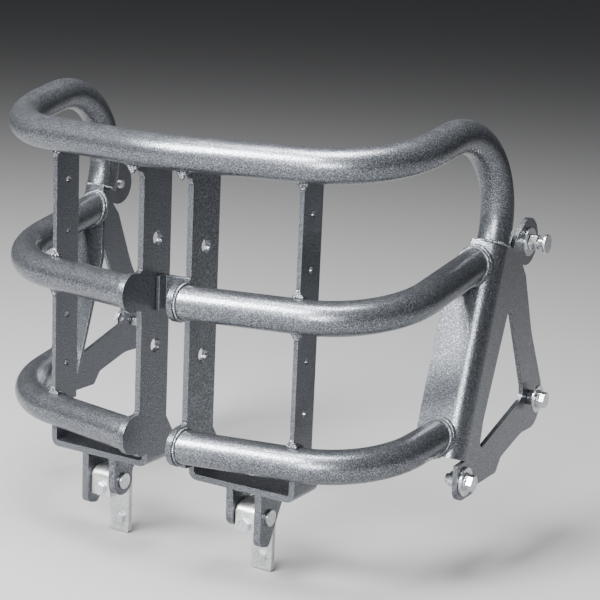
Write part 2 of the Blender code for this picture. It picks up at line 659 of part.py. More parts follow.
def hinge_mount(side):
    """Round-topped block, the strap behind it and the bolts that hold them."""
    label = "left" if side < 0 else "right"
    front_y = PIN_Y - BLOCK_EYE_RADIUS
    rear_y = BLOCK_REAR_Y
    top_z = PIN_Z + BLOCK_EYE_RADIUS
    x = side * HINGE_X
    hole = SMALL_BOLT_RADIUS + BOLT_CLEARANCE
    round_top = BLOCK_EYE_RADIUS - BLOCK_EDGE
    section = rounded([(front_y, BLOCK_BOTTOM_Z, BLOCK_EDGE), (rear_y, BLOCK_BOTTOM_Z, BLOCK_EDGE),
                       (rear_y, top_z, BLOCK_EDGE), (front_y, top_z, round_top)])
    block = plate("hinge_block_" + label, section, BLOCK_WIDTH, side_frame(x), GALVANISED,
                  [circle_points(PIN_Y, PIN_Z, PIN_RADIUS + PIN_CLEARANCE)])
    drill = rod_along_y("drill", hole, front_y - BLOCK_WIDTH, rear_y + BLOCK_WIDTH, (x, BLOCK_BOLT_Z),
                        GALVANISED, 16)
    smooth(combine(block, drill, "DIFFERENCE"))

    half = BLOCK_WIDTH / 2
    strap_y = rear_y + GAP + STRAP_THICKNESS / 2
    outline = rounded([(x - half, STRAP_BOTTOM_Z, STRAP_CORNER), (x + half, STRAP_BOTTOM_Z, STRAP_CORNER),
                       (x + half, STRAP_TOP_Z, STRAP_CORNER), (x - half, STRAP_TOP_Z, STRAP_CORNER)])
    plate("hinge_strap_" + label, outline, STRAP_THICKNESS, front_frame(strap_y), GALVANISED,
          [circle_points(x, BLOCK_BOLT_Z, hole, 16), circle_points(x, STRAP_BOLT_Z, hole, 16)])

    strap_front = strap_y - STRAP_THICKNESS / 2
    tail = strap_y + STRAP_THICKNESS / 2 + SMALL_BOLT_TAIL
    corner = SMALL_HEX_FLATS / math.sqrt(3)
    for role, face_y, z in (("block_bolt_", front_y, BLOCK_BOLT_Z), ("strap_bolt_", strap_front, STRAP_BOLT_Z)):
        head = rod_along_y(role + label, corner, face_y - GAP - SMALL_HEAD_HEIGHT, face_y - GAP,
                           (x, z), ZINC, 6)
        shank = rod_along_y("shank", SMALL_BOLT_RADIUS, face_y - GAP - SMALL_HEAD_HEIGHT / 2, tail,
                            (x, z), ZINC)
        smooth(combine(head, shank, "UNION"))


def bracket_outline():
    """Outline of the side plate behind the fold, in Y and Z."""
    seam = along_post(SEAM_DROP + GAP)
    foot = along_post(FOOT_DROP)
    lower_y, lower_z = LOWER_BOLT_YZ
    lobe = [(lower_y + back, lower_z + up, radius) for back, up, radius in LOWER_LOBE]
    toe = (lobe[0][0], foot[1] - FOOT_STEP, 0)
    middle_y, middle_z = MIDDLE_BOLT_YZ
    heel = [(middle_y + back, middle_z + up, radius) for back, up, radius in MIDDLE_LOBE]
    corners = rounded([(*seam, 0), (*foot, 0), toe, *lobe, *LOWER_EDGE, *heel, *REAR_EDGE])
    ear = arc_points(*UPPER_BOLT_YZ, EAR_PLATE_RADIUS, *EAR_PLATE_SWEEP, 12)
    notch = (seam[0] + SEAM_NOTCH * math.cos(POST_LEAN), seam[1] - SEAM_NOTCH * math.sin(POST_LEAN))
    return corners[1:] + ear + [(notch[0] + SEAM_RISE[0], notch[1] + SEAM_RISE[1]), notch, seam]


def side_bracket(side):
    """Windowed side plate folded round the post's line into a front flange."""
    label = "left" if side < 0 else "right"
    window = rounded(WINDOW_CORNERS)
    bore = BOLT_RADIUS + BOLT_CLEARANCE
    holes = [window] + [circle_points(*yz, bore, 20) for yz in (UPPER_BOLT_YZ, MIDDLE_BOLT_YZ, LOWER_BOLT_YZ)]
    plate_x = POST_X + TUBE_RADIUS
    sheet = flat_face("side_plate", bracket_outline(), side_frame(plate_x), holes)
    top = Vector((plate_x, *along_post(SEAM_DROP + GAP)))
    foot = Vector((plate_x, *along_post(FOOT_DROP)))
    up = (top - foot).normalized()
    centre = (POST_X, foot.y, foot.z)
    end = spin_edge(sheet, edge_between(sheet, foot, top), centre, up, -math.pi / 2, 6)
    end = push_edge(sheet, end, (FLANGE_EDGE_X - POST_X, 0, 0))
    low, high = sorted(end.verts, key=lambda vert: vert.co.z)
    height = (high.co - low.co).length
    middle = bmesh.utils.edge_split(end, low, FLANGE_SLANT_START / height)[1]
    high = max(middle.link_edges[0].other_vert(middle), middle.link_edges[1].other_vert(middle),
               key=lambda vert: vert.co.z)
    high.co.x = FLANGE_TOP_X
    folded_sheet("side_bracket_" + label, sheet, side, PLATE_THICKNESS, (1, 0, 0))


def upper_bolt(side):
    """Upper fixing: washer and nut on the plate, a shank and its flat round head standing out."""
    label = "left" if side < 0 else "right"
    face = side * (POST_X + TUBE_RADIUS + GAP)
    hole = BOLT_RADIUS + BOLT_CLEARANCE
    washer("upper_washer_" + label, BIG_WASHER_RADIUS, hole, face, side * BIG_WASHER_THICKNESS, UPPER_BOLT_YZ)
    nut_x = face + side * (BIG_WASHER_THICKNESS + GAP)
    corner = HEX_FLATS / math.sqrt(3)
    nut_frame = side_frame(nut_x + side * UPPER_NUT_HEIGHT / 2)
    plate("upper_nut_" + label, circle_points(*UPPER_BOLT_YZ, corner, 6), UPPER_NUT_HEIGHT, nut_frame, ZINC,
          [circle_points(*UPPER_BOLT_YZ, hole, 20)])
    disc_x = nut_x + side * (UPPER_NUT_HEIGHT + UPPER_SHANK_SHOWN)
    tail_x = side * (POST_X + TUBE_RADIUS - PLATE_THICKNESS - SIDE_BOLT_TAIL)
    disc = rod("upper_bolt_" + label, UPPER_DISC_RADIUS, disc_x, disc_x + side * UPPER_DISC_THICKNESS,
               UPPER_BOLT_YZ, ZINC, 24)
    shank = rod("shank", BOLT_RADIUS, tail_x, disc_x + side * UPPER_DISC_THICKNESS / 2, UPPER_BOLT_YZ, ZINC)
    smooth(combine(disc, shank, "UNION"))


def middle_bolt(side):
    """Rear fixing: boss, big washer, small washer and hex bolt."""
    label = "left" if side < 0 else "right"
    hole = BOLT_RADIUS + BOLT_CLEARANCE
    x = side * (POST_X + TUBE_RADIUS + GAP)
    washer("middle_boss_" + label, BOSS_RADIUS, hole, x, side * BOSS_LENGTH, MIDDLE_BOLT_YZ, PAINT)
    x += side * (BOSS_LENGTH + GAP)
    stack_bolt("middle", side, x, MIDDLE_BOLT_YZ, SIDE_BOLT_TAIL)


def lower_bolt(side):
    """Front fixing: spacer inside the plate, big washer, small washer and hex bolt outside."""
    label = "left" if side < 0 else "right"
    hole = BOLT_RADIUS + BOLT_CLEARANCE
    inside = side * (POST_X + TUBE_RADIUS - PLATE_THICKNESS - GAP)
    washer("lower_spacer_" + label, SPACER_RADIUS, hole, inside, -side * SPACER_LENGTH, LOWER_BOLT_YZ, ZINC)
    stack_bolt("lower", side, side * (POST_X + TUBE_RADIUS + GAP), LOWER_BOLT_YZ,
               SPACER_LENGTH + SIDE_BOLT_TAIL)


def stack_bolt(role, side, x, yz, inside):
    """Big washer, small washer and hex bolt stacked outward from x, the shank ending inside the plate."""
    label = "left" if side < 0 else "right"
    hole = BOLT_RADIUS + BOLT_CLEARANCE
    washer(role + "_big_washer_" + label, BIG_WASHER_RADIUS, hole, x, side * BIG_WASHER_THICKNESS, yz)
    x += side * (BIG_WASHER_THICKNESS + GAP)
    washer(role + "_small_washer_" + label, SMALL_WASHER_RADIUS, hole, x, side * SMALL_WASHER_THICKNESS, yz)
    x += side * (SMALL_WASHER_THICKNESS + GAP)
    tail_x = side * (POST_X + TUBE_RADIUS - PLATE_THICKNESS - inside)
    smooth(bolt(role + "_bolt_" + label, BOLT_RADIUS, x, tail_x, yz, HEX_FLATS, HEX_HEIGHT, side))


def hang_on_tilt_axis():
    """Set the origin on the mounting faces and hang the moving pieces on the pins' axis."""
    pins = Vector((0, PIN_Y, PIN_Z))
    strap_rear_y = BLOCK_REAR_Y + GAP + STRAP_THICKNESS
    axis = bpy.data.objects.new("tilt_axis", None)
    axis.location = (0, PIN_Y - strap_rear_y, 0)
    pieces = [piece for piece in collection(COLLECTION).objects if piece.type == "MESH"]
    collection(COLLECTION).objects.link(axis)
    for piece in pieces:
        piece.data.transform(Matrix.Translation(-pins))
        if piece.name.startswith(FIXED_PIECES):
            piece.location = axis.location
        else:
            piece.parent = axis


def build():
    """Build the whole guard."""
    clear_scene()
    top_hoop()
    link_plate()
    for side in (-1, 1):
        label = "left" if side < 0 else "right"
        side_tube("middle_tube_" + label, side, MIDDLE_Z, MIDDLE_NOSE_Y, MIDDLE_CORNER_X,
                  (MIDDLE_END_X, MIDDLE_END_Z))
        side_tube("lower_tube_" + label, side, LOWER_Z, LOWER_NOSE_Y, LOWER_CORNER_X,
                  (LOWER_END_X, LOWER_END_Z))
        centre_upright(side)
        outer_bar(side, True)
        outer_bar(side, False)
        hinge_lugs(side)
        hinge_pin(side)
        hinge_mount(side)
        side_bracket(side)
        upper_bolt(side)
        middle_bolt(side)
        lower_bolt(side)
    hang_on_tilt_axis()


build()
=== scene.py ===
"""Looks of the front grille guard: drawn tubes, weld beads, dressed plates and plated fasteners.

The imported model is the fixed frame. Lengths are metres; the layout is measured from the middle plane and
the lower tube's straight front run, as the guard is set out on the bench, and a datum moves it to the frame.
"""
import json
import logging
import math
import random
from dataclasses import dataclass, field
from enum import Enum
from typing import Iterable, Sequence

import bmesh
import bpy
from mathutils import Matrix, Vector

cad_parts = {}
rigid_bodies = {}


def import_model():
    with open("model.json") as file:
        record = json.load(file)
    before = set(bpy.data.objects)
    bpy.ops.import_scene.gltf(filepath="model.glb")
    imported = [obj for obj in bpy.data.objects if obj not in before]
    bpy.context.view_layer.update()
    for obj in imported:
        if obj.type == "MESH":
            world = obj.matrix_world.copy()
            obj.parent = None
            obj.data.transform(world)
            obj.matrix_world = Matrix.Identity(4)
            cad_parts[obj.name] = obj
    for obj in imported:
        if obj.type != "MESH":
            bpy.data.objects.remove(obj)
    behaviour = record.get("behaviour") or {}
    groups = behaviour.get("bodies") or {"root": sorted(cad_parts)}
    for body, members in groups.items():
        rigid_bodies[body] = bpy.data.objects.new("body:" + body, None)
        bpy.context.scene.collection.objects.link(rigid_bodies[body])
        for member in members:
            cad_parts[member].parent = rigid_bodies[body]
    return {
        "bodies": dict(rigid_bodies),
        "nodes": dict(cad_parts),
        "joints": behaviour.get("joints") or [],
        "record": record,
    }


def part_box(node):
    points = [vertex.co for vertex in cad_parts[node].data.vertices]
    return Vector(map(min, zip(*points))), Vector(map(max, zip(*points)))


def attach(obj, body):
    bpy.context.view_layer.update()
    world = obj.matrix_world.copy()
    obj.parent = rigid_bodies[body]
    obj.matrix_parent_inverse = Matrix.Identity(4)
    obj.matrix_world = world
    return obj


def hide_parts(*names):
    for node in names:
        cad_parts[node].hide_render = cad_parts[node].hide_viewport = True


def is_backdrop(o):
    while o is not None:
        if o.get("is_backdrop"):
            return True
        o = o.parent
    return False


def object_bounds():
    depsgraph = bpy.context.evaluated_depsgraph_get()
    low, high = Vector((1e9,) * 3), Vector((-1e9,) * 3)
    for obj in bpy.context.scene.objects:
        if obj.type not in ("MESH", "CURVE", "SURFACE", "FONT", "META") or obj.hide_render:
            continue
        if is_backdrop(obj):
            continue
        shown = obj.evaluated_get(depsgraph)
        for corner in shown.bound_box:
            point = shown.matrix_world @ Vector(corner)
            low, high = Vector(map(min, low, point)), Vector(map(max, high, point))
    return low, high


LOG = logging.getLogger("grille_guard")
GUARD = "guard"
MOUNTS = "hinge_mounts"

PIN_LAYOUT_Y = 0.060
PIN_LAYOUT_Z = -0.085
FLOOR_GAP = 0.001
MERGE_DISTANCE = 0.00002
FLAT_DEGREES = 0.3
KEEN_DEGREES = 32.0
PLATE_DEGREES = 50.0
THREAD_DEGREES = 40.0

BEAD_RADIUS = 0.0030
BEAD_PITCH = 0.0021

FLAKE_BAND = (0.34, 0.68)
UPWARD_BAND = (0.35, 1.0)
PATCH_BAND = (0.42, 0.68)
EDGE_BAND = (0.56, 0.66)
NICK_BAND = (0.48, 0.62)
SIDES = ((-1, "left"), (1, "right"))


class Slot(Enum):
    """Finish slots of the record."""

    PAINT = "hammered_silver_paint"
    ZINC = "zinc_fasteners"
    GALVANISED = "galvanised_steel"
    BLACK = "black_spring_steel"


# ---------------------------------------------------------------- shader tools


@dataclass
class ShaderGroup:
    """A node group with named sockets, and short calls that add nodes to it."""

    name: str
    inputs: dict[str, float]
    outputs: tuple[str, ...]
    tree: bpy.types.NodeTree = field(init=False)
    source: bpy.types.Node = field(init=False)
    sink: bpy.types.Node = field(init=False)

    def __post_init__(self) -> None:
        """Make the tree with its group input and output nodes."""
        self.tree = bpy.data.node_groups.new(self.name, "ShaderNodeTree")
        for label, value in self.inputs.items():
            socket = self.tree.interface.new_socket(label, in_out="INPUT", socket_type="NodeSocketFloat")
            socket.default_value = value
        for label in self.outputs:
            self.tree.interface.new_socket(label, in_out="OUTPUT", socket_type="NodeSocketFloat")
        self.source = self.tree.nodes.new("NodeGroupInput")
        self.sink = self.tree.nodes.new("NodeGroupOutput")

    def link(self, output: bpy.types.NodeSocket, target: bpy.types.NodeSocket) -> None:
        """Link two sockets."""
        self.tree.links.new(output, target)


def add_node(tree: bpy.types.NodeTree, kind: str, **values: object) -> bpy.types.Node:
    """Add a node and set its properties.

    Args:
        tree: The tree that takes the node.
        kind: The node's type name.
        values: Properties by name.

    Returns:
        The new node.
    """
    node = tree.nodes.new(kind)
    for key, value in values.items():
        setattr(node, key, value)
    return node


def math_node(tree: bpy.types.NodeTree, operation: str, first: object,
              second: object) -> bpy.types.NodeSocket:
    """Add a Math node whose operands are sockets or numbers.

    Args:
        tree: The tree that takes the node.
        operation: The Math node's operation.
        first: First socket or number.
        second: Second socket or number.

    Returns:
        The result's socket.
    """
    node = add_node(tree, "ShaderNodeMath", operation=operation)
    for socket, value in zip(node.inputs, (first, second)):
        if isinstance(value, bpy.types.NodeSocket):
            tree.links.new(value, socket)
        else:
            socket.default_value = value
    return node.outputs[0]


def noise(tree: bpy.types.NodeTree, vector: bpy.types.NodeSocket, scale: object, detail: float,
          rough: float = 0.5) -> bpy.types.NodeSocket:
    """Add a noise texture and return its factor.

    Args:
        tree: The tree that takes the node.
        vector: Coordinates.
        scale: Socket or number for the pattern's scale.
        detail: Octaves.
        rough: Roughness of the octaves.

    Returns:
        The factor's socket.
    """
    node = add_node(tree, "ShaderNodeTexNoise")
    node.inputs["Detail"].default_value = detail
    node.inputs["Roughness"].default_value = rough
    tree.links.new(vector, node.inputs["Vector"])
    if isinstance(scale, bpy.types.NodeSocket):
        tree.links.new(scale, node.inputs["Scale"])
    else:
        node.inputs["Scale"].default_value = scale
    return node.outputs["Fac"]


def remap(tree: bpy.types.NodeTree, value: bpy.types.NodeSocket, low: float, high: float,
          to_low: float = 0.0, to_high: float = 1.0) -> bpy.types.NodeSocket:
    """Stretch a value from one range to another, clamped.

    Args:
        tree: The tree that takes the node.
        value: The value's socket.
        low: Start of the range that is read.
        high: End of the range that is read.
        to_low: Result at the start.
        to_high: Result at the end.

    Returns:
        The result's socket.
    """
    node = add_node(tree, "ShaderNodeMapRange", interpolation_type="SMOOTHSTEP")
    tree.links.new(value, node.inputs["Value"])
    for label, number in (("From Min", low), ("From Max", high), ("To Min", to_low), ("To Max", to_high)):
        node.inputs[label].default_value = number
    return node.outputs["Result"]


def ramp(tree: bpy.types.NodeTree, value: bpy.types.NodeSocket,
         stops: Sequence[tuple[float, tuple[float, float, float]]]) -> bpy.types.NodeSocket:
    """Colour a value through a ramp.

    Args:
        tree: The tree that takes the node.
        value: Factor socket.
        stops: (position, linear colour) pairs.

    Returns:
        The colour socket.
    """
    node = add_node(tree, "ShaderNodeValToRGB")
    elements = node.color_ramp.elements
    while len(elements) < len(stops):
        elements.new(0.5)
    for element, (position, colour) in zip(elements, stops):
        element.position = position
        element.color = (*colour, 1.0)
    tree.links.new(value, node.inputs["Fac"])
    return node.outputs["Color"]


def hammer_group() -> bpy.types.NodeTree:
    """Build hammered paint: cells of metal flake, fine speckle and slow drift.

    Returns:
        The group, with Height, Flake and Drift outputs.
    """
    group = ShaderGroup("hammer_grain", {"Cell": 420.0, "Flake scale": 1500.0}, ("Height", "Flake", "Drift"))
    tree = group.tree
    coords = add_node(tree, "ShaderNodeTexCoord").outputs["Object"]
    cells = add_node(tree, "ShaderNodeTexVoronoi", feature="SMOOTH_F1")
    cells.inputs["Smoothness"].default_value = 0.6
    tree.links.new(coords, cells.inputs["Vector"])
    tree.links.new(group.source.outputs["Cell"], cells.inputs["Scale"])
    fine = noise(tree, coords, group.source.outputs["Flake scale"], 3.0, 0.7)
    height = math_node(tree, "MULTIPLY", cells.outputs["Distance"], 0.8)
    mixed = math_node(tree, "ADD", height, math_node(tree, "MULTIPLY", fine, 0.65))
    group.link(mixed, group.sink.inputs["Height"])
    group.link(remap(tree, fine, *FLAKE_BAND), group.sink.inputs["Flake"])
    group.link(noise(tree, coords, 14.0, 3.0), group.sink.inputs["Drift"])
    return tree


def dust_group() -> bpy.types.NodeTree:
    """Build the dust that settles on upward faces, broken up by noise.

    Returns:
        The group, with a Dust output.
    """
    group = ShaderGroup("settled_dust", {"Scale": 60.0}, ("Dust",))
    tree = group.tree
    normal = add_node(tree, "ShaderNodeSeparateXYZ")
    tree.links.new(add_node(tree, "ShaderNodeNewGeometry").outputs["Normal"], normal.inputs[0])
    up = remap(tree, normal.outputs["Z"], *UPWARD_BAND)
    coords = add_node(tree, "ShaderNodeTexCoord").outputs["Object"]
    patches = remap(tree, noise(tree, coords, group.source.outputs["Scale"], 4.0), *PATCH_BAND)
    group.link(math_node(tree, "MULTIPLY", up, patches), group.sink.inputs["Dust"])
    return tree


def wear_group() -> bpy.types.NodeTree:
    """Build the wear along edges and at scattered nicks.

    Returns:
        The group, with a Wear output.
    """
    group = ShaderGroup("edge_wear", {"Scale": 220.0}, ("Wear",))
    tree = group.tree
    pointiness = add_node(tree, "ShaderNodeNewGeometry").outputs["Pointiness"]
    edge = remap(tree, pointiness, *EDGE_BAND)
    coords = add_node(tree, "ShaderNodeTexCoord").outputs["Object"]
    broken = remap(tree, noise(tree, coords, group.source.outputs["Scale"], 5.0, 0.65), *NICK_BAND)
    group.link(math_node(tree, "MULTIPLY", edge, broken), group.sink.inputs["Wear"])
    return tree


def spangle_group() -> bpy.types.NodeTree:
    """Build zinc spangle: flat crystals of differing brightness, with fine draw marks.

    Returns:
        The group, with Spangle, Marks and Stain outputs.
    """
    group = ShaderGroup("zinc_spangle", {"Scale": 160.0}, ("Spangle", "Marks", "Stain"))
    tree = group.tree
    coords = add_node(tree, "ShaderNodeTexCoord").outputs["Object"]
    crystals = add_node(tree, "ShaderNodeTexVoronoi", feature="F1")
    tree.links.new(coords, crystals.inputs["Vector"])
    tree.links.new(group.source.outputs["Scale"], crystals.inputs["Scale"])
    grey = add_node(tree, "ShaderNodeSeparateColor")
    tree.links.new(crystals.outputs["Color"], grey.inputs[0])
    group.link(grey.outputs[0], group.sink.inputs["Spangle"])
    stretched = add_node(tree, "ShaderNodeMapping")
    stretched.inputs["Scale"].default_value = (1.0, 1.0, 0.12)
    tree.links.new(coords, stretched.inputs["Vector"])
    group.link(noise(tree, stretched.outputs["Vector"], 900.0, 3.0, 0.6), group.sink.inputs["Marks"])
    group.link(noise(tree, coords, 45.0, 4.0, 0.6), group.sink.inputs["Stain"])
    return tree


@dataclass(frozen=True)
class Groups:
    """The shared effects that the finishes use."""

    hammer: bpy.types.NodeTree
    dust: bpy.types.NodeTree
    wear: bpy.types.NodeTree
    spangle: bpy.types.NodeTree

    @classmethod
    def build(cls) -> "Groups":
        """Build every shared effect once."""
        return cls(hammer_group(), dust_group(), wear_group(), spangle_group())


def use_group(tree: bpy.types.NodeTree, group: bpy.types.NodeTree, **values: float) -> bpy.types.Node:
    """Place a node group in a material with its own values.

    Args:
        tree: The material's tree.
        group: The node group.
        values: Input values, with underscores for spaces.

    Returns:
        The group node.
    """
    node = add_node(tree, "ShaderNodeGroup", node_tree=group)
    for key, value in values.items():
        node.inputs[key.replace("_", " ")].default_value = value
    return node


def mix_colour(tree: bpy.types.NodeTree, factor: bpy.types.NodeSocket, first: object,
               second: object) -> bpy.types.NodeSocket:
    """Mix two colours, given as sockets or linear triples.

    Args:
        tree: The tree that takes the node.
        factor: Factor socket.
        first: Colour at factor 0.
        second: Colour at factor 1.

    Returns:
        The mixed colour's socket.
    """
    node = add_node(tree, "ShaderNodeMix", data_type="RGBA")
    tree.links.new(factor, node.inputs[0])
    for socket, value in ((node.inputs[6], first), (node.inputs[7], second)):
        if isinstance(value, bpy.types.NodeSocket):
            tree.links.new(value, socket)
        else:
            socket.default_value = (*value, 1.0)
    return node.outputs[2]


def new_material(name: str) -> tuple[bpy.types.Material, bpy.types.NodeTree, bpy.types.Node]:
    """Make a material with nodes.

    Args:
        name: The material's name.

    Returns:
        The material, its tree and its Principled shader.
    """
    made = bpy.data.materials.new(name)
    made.use_nodes = True
    return made, made.node_tree, made.node_tree.nodes["Principled BSDF"]


def bump(tree: bpy.types.NodeTree, shader: bpy.types.Node, height: bpy.types.NodeSocket,
         strength: float, distance: float) -> None:
    """Feed a height to a shader's normal through a Bump node.

    Args:
        tree: The material's tree.
        shader: The Principled shader.
        height: Height socket.
        strength: The Bump node's strength.
        distance: Depth of the relief.
    """
    node = add_node(tree, "ShaderNodeBump")
    node.inputs["Strength"].default_value = strength
    node.inputs["Distance"].default_value = distance
    tree.links.new(height, node.inputs["Height"])
    tree.links.new(node.outputs["Normal"], shader.inputs["Normal"])


@dataclass(frozen=True)
class HammeredPaint:
    """Silver hammertone paint over steel."""

    dark: tuple[float, float, float] = (0.040, 0.044, 0.053)
    middle: tuple[float, float, float] = (0.090, 0.098, 0.112)
    light: tuple[float, float, float] = (0.275, 0.29, 0.31)
    worn: tuple[float, float, float] = (0.40, 0.41, 0.42)
    dust: tuple[float, float, float] = (0.42, 0.40, 0.37)
    cell: float = 430.0
    flake: float = 690.0
    wear_scale: float = 240.0
    dust_scale: float = 55.0
    drift_share: float = 0.08
    dust_share: float = 0.04
    dust_roughening: float = 1.2
    metallic: float = 0.82
    roughness: tuple[float, float] = (0.36, 0.27)
    coat: float = 0.35
    coat_roughness: float = 0.22
    relief: tuple[float, float] = (0.68, 0.00026)

    def build(self, groups: Groups) -> bpy.types.Material:
        """Build the material.

        Args:
            groups: The shared effects.

        Returns:
            The material.
        """
        made, tree, shader = new_material("hammered_silver_paint")
        grain = use_group(tree, groups.hammer, Cell=self.cell, Flake_scale=self.flake)
        wear = use_group(tree, groups.wear, Scale=self.wear_scale)
        dust = use_group(tree, groups.dust, Scale=self.dust_scale)
        stops = ((0.0, self.dark), (0.5, self.middle), (1.0, self.light))
        paint = ramp(tree, grain.outputs["Flake"], stops)
        drift = remap(tree, grain.outputs["Drift"], 0.3, 0.7, 0.0, self.drift_share)
        paint = mix_colour(tree, drift, paint, self.dark)
        paint = mix_colour(tree, wear.outputs["Wear"], paint, self.worn)
        dusty = math_node(tree, "MULTIPLY", dust.outputs["Dust"], self.dust_share)
        tree.links.new(mix_colour(tree, dusty, paint, self.dust), shader.inputs["Base Color"])
        shader.inputs["Metallic"].default_value = self.metallic
        rough = remap(tree, grain.outputs["Flake"], 0.0, 1.0, *self.roughness)
        duller = math_node(tree, "MULTIPLY", dusty, self.dust_roughening)
        tree.links.new(math_node(tree, "ADD", rough, duller), shader.inputs["Roughness"])
        shader.inputs["Coat Weight"].default_value = self.coat
        shader.inputs["Coat Roughness"].default_value = self.coat_roughness
        bump(tree, shader, grain.outputs["Height"], *self.relief)
        return made


@dataclass(frozen=True)
class PlatedZinc:
    """Bright zinc plate on fasteners."""

    dark: tuple[float, float, float] = (0.40, 0.42, 0.44)
    light: tuple[float, float, float] = (0.78, 0.80, 0.82)
    stain: tuple[float, float, float] = (0.26, 0.25, 0.22)
    grain_scale: float = 700.0
    wear_scale: float = 400.0
    stain_share: float = 0.35
    metallic: float = 1.0
    roughness: tuple[float, float] = (0.20, 0.34)
    relief: tuple[float, float] = (0.25, 0.00012)

    def build(self, groups: Groups) -> bpy.types.Material:
        """Build the material.

        Args:
            groups: The shared effects.

        Returns:
            The material.
        """
        made, tree, shader = new_material("zinc_plate")
        grain = use_group(tree, groups.spangle, Scale=self.grain_scale)
        wear = use_group(tree, groups.wear, Scale=self.wear_scale)
        colour = ramp(tree, grain.outputs["Marks"], ((0.3, self.dark), (0.65, self.light)))
        stain = remap(tree, grain.outputs["Stain"], 0.60, 0.78, 0.0, self.stain_share)
        colour = mix_colour(tree, stain, colour, self.stain)
        colour = mix_colour(tree, wear.outputs["Wear"], colour, self.light)
        tree.links.new(colour, shader.inputs["Base Color"])
        shader.inputs["Metallic"].default_value = self.metallic
        rough = remap(tree, grain.outputs["Marks"], 0.3, 0.7, *self.roughness)
        tree.links.new(rough, shader.inputs["Roughness"])
        bump(tree, shader, grain.outputs["Marks"], *self.relief)
        return made


@dataclass(frozen=True)
class HotDipZinc:
    """Dull galvanised steel with spangle and white bloom."""

    dark: tuple[float, float, float] = (0.47, 0.49, 0.48)
    light: tuple[float, float, float] = (0.68, 0.70, 0.68)
    bloom: tuple[float, float, float] = (0.66, 0.66, 0.62)
    grain_scale: float = 520.0
    wear_scale: float = 260.0
    bloom_share: float = 0.4
    metallic: tuple[float, float] = (0.95, 0.7)
    roughness: tuple[float, float] = (0.30, 0.46)
    relief: tuple[float, float] = (0.25, 0.00012)

    def build(self, groups: Groups) -> bpy.types.Material:
        """Build the material.

        Args:
            groups: The shared effects.

        Returns:
            The material.
        """
        made, tree, shader = new_material("galvanised_steel")
        grain = use_group(tree, groups.spangle, Scale=self.grain_scale)
        wear = use_group(tree, groups.wear, Scale=self.wear_scale)
        colour = ramp(tree, grain.outputs["Spangle"], ((0.0, self.dark), (1.0, self.light)))
        bloom = remap(tree, grain.outputs["Stain"], 0.5, 0.75, 0.0, self.bloom_share)
        colour = mix_colour(tree, bloom, colour, self.bloom)
        colour = mix_colour(tree, wear.outputs["Wear"], colour, self.light)
        tree.links.new(colour, shader.inputs["Base Color"])
        metal = remap(tree, bloom, 0.0, self.bloom_share, *self.metallic)
        tree.links.new(metal, shader.inputs["Metallic"])
        rough = remap(tree, grain.outputs["Stain"], 0.3, 0.7, *self.roughness)
        tree.links.new(rough, shader.inputs["Roughness"])
        bump(tree, shader, grain.outputs["Marks"], *self.relief)
        return made


@dataclass(frozen=True)
class BlackPhosphate:
    """Black spring-steel finish."""

    dark: tuple[float, float, float] = (0.018, 0.018, 0.020)
    light: tuple[float, float, float] = (0.055, 0.055, 0.058)
    grain_scale: float = 900.0
    metallic: float = 0.6
    roughness: tuple[float, float] = (0.38, 0.52)
    relief: tuple[float, float] = (0.2, 0.0001)

    def build(self, groups: Groups) -> bpy.types.Material:
        """Build the material.

        Args:
            groups: The shared effects.

        Returns:
            The material.
        """
        made, tree, shader = new_material("black_phosphate")
        grain = use_group(tree, groups.spangle, Scale=self.grain_scale)
        colour = ramp(tree, grain.outputs["Marks"], ((0.3, self.dark), (0.7, self.light)))
        tree.links.new(colour, shader.inputs["Base Color"])
        shader.inputs["Metallic"].default_value = self.metallic
        rough = remap(tree, grain.outputs["Stain"], 0.3, 0.7, *self.roughness)
        tree.links.new(rough, shader.inputs["Roughness"])
        bump(tree, shader, grain.outputs["Marks"], *self.relief)
        return made


# ---------------------------------------------------------------- modelling tools


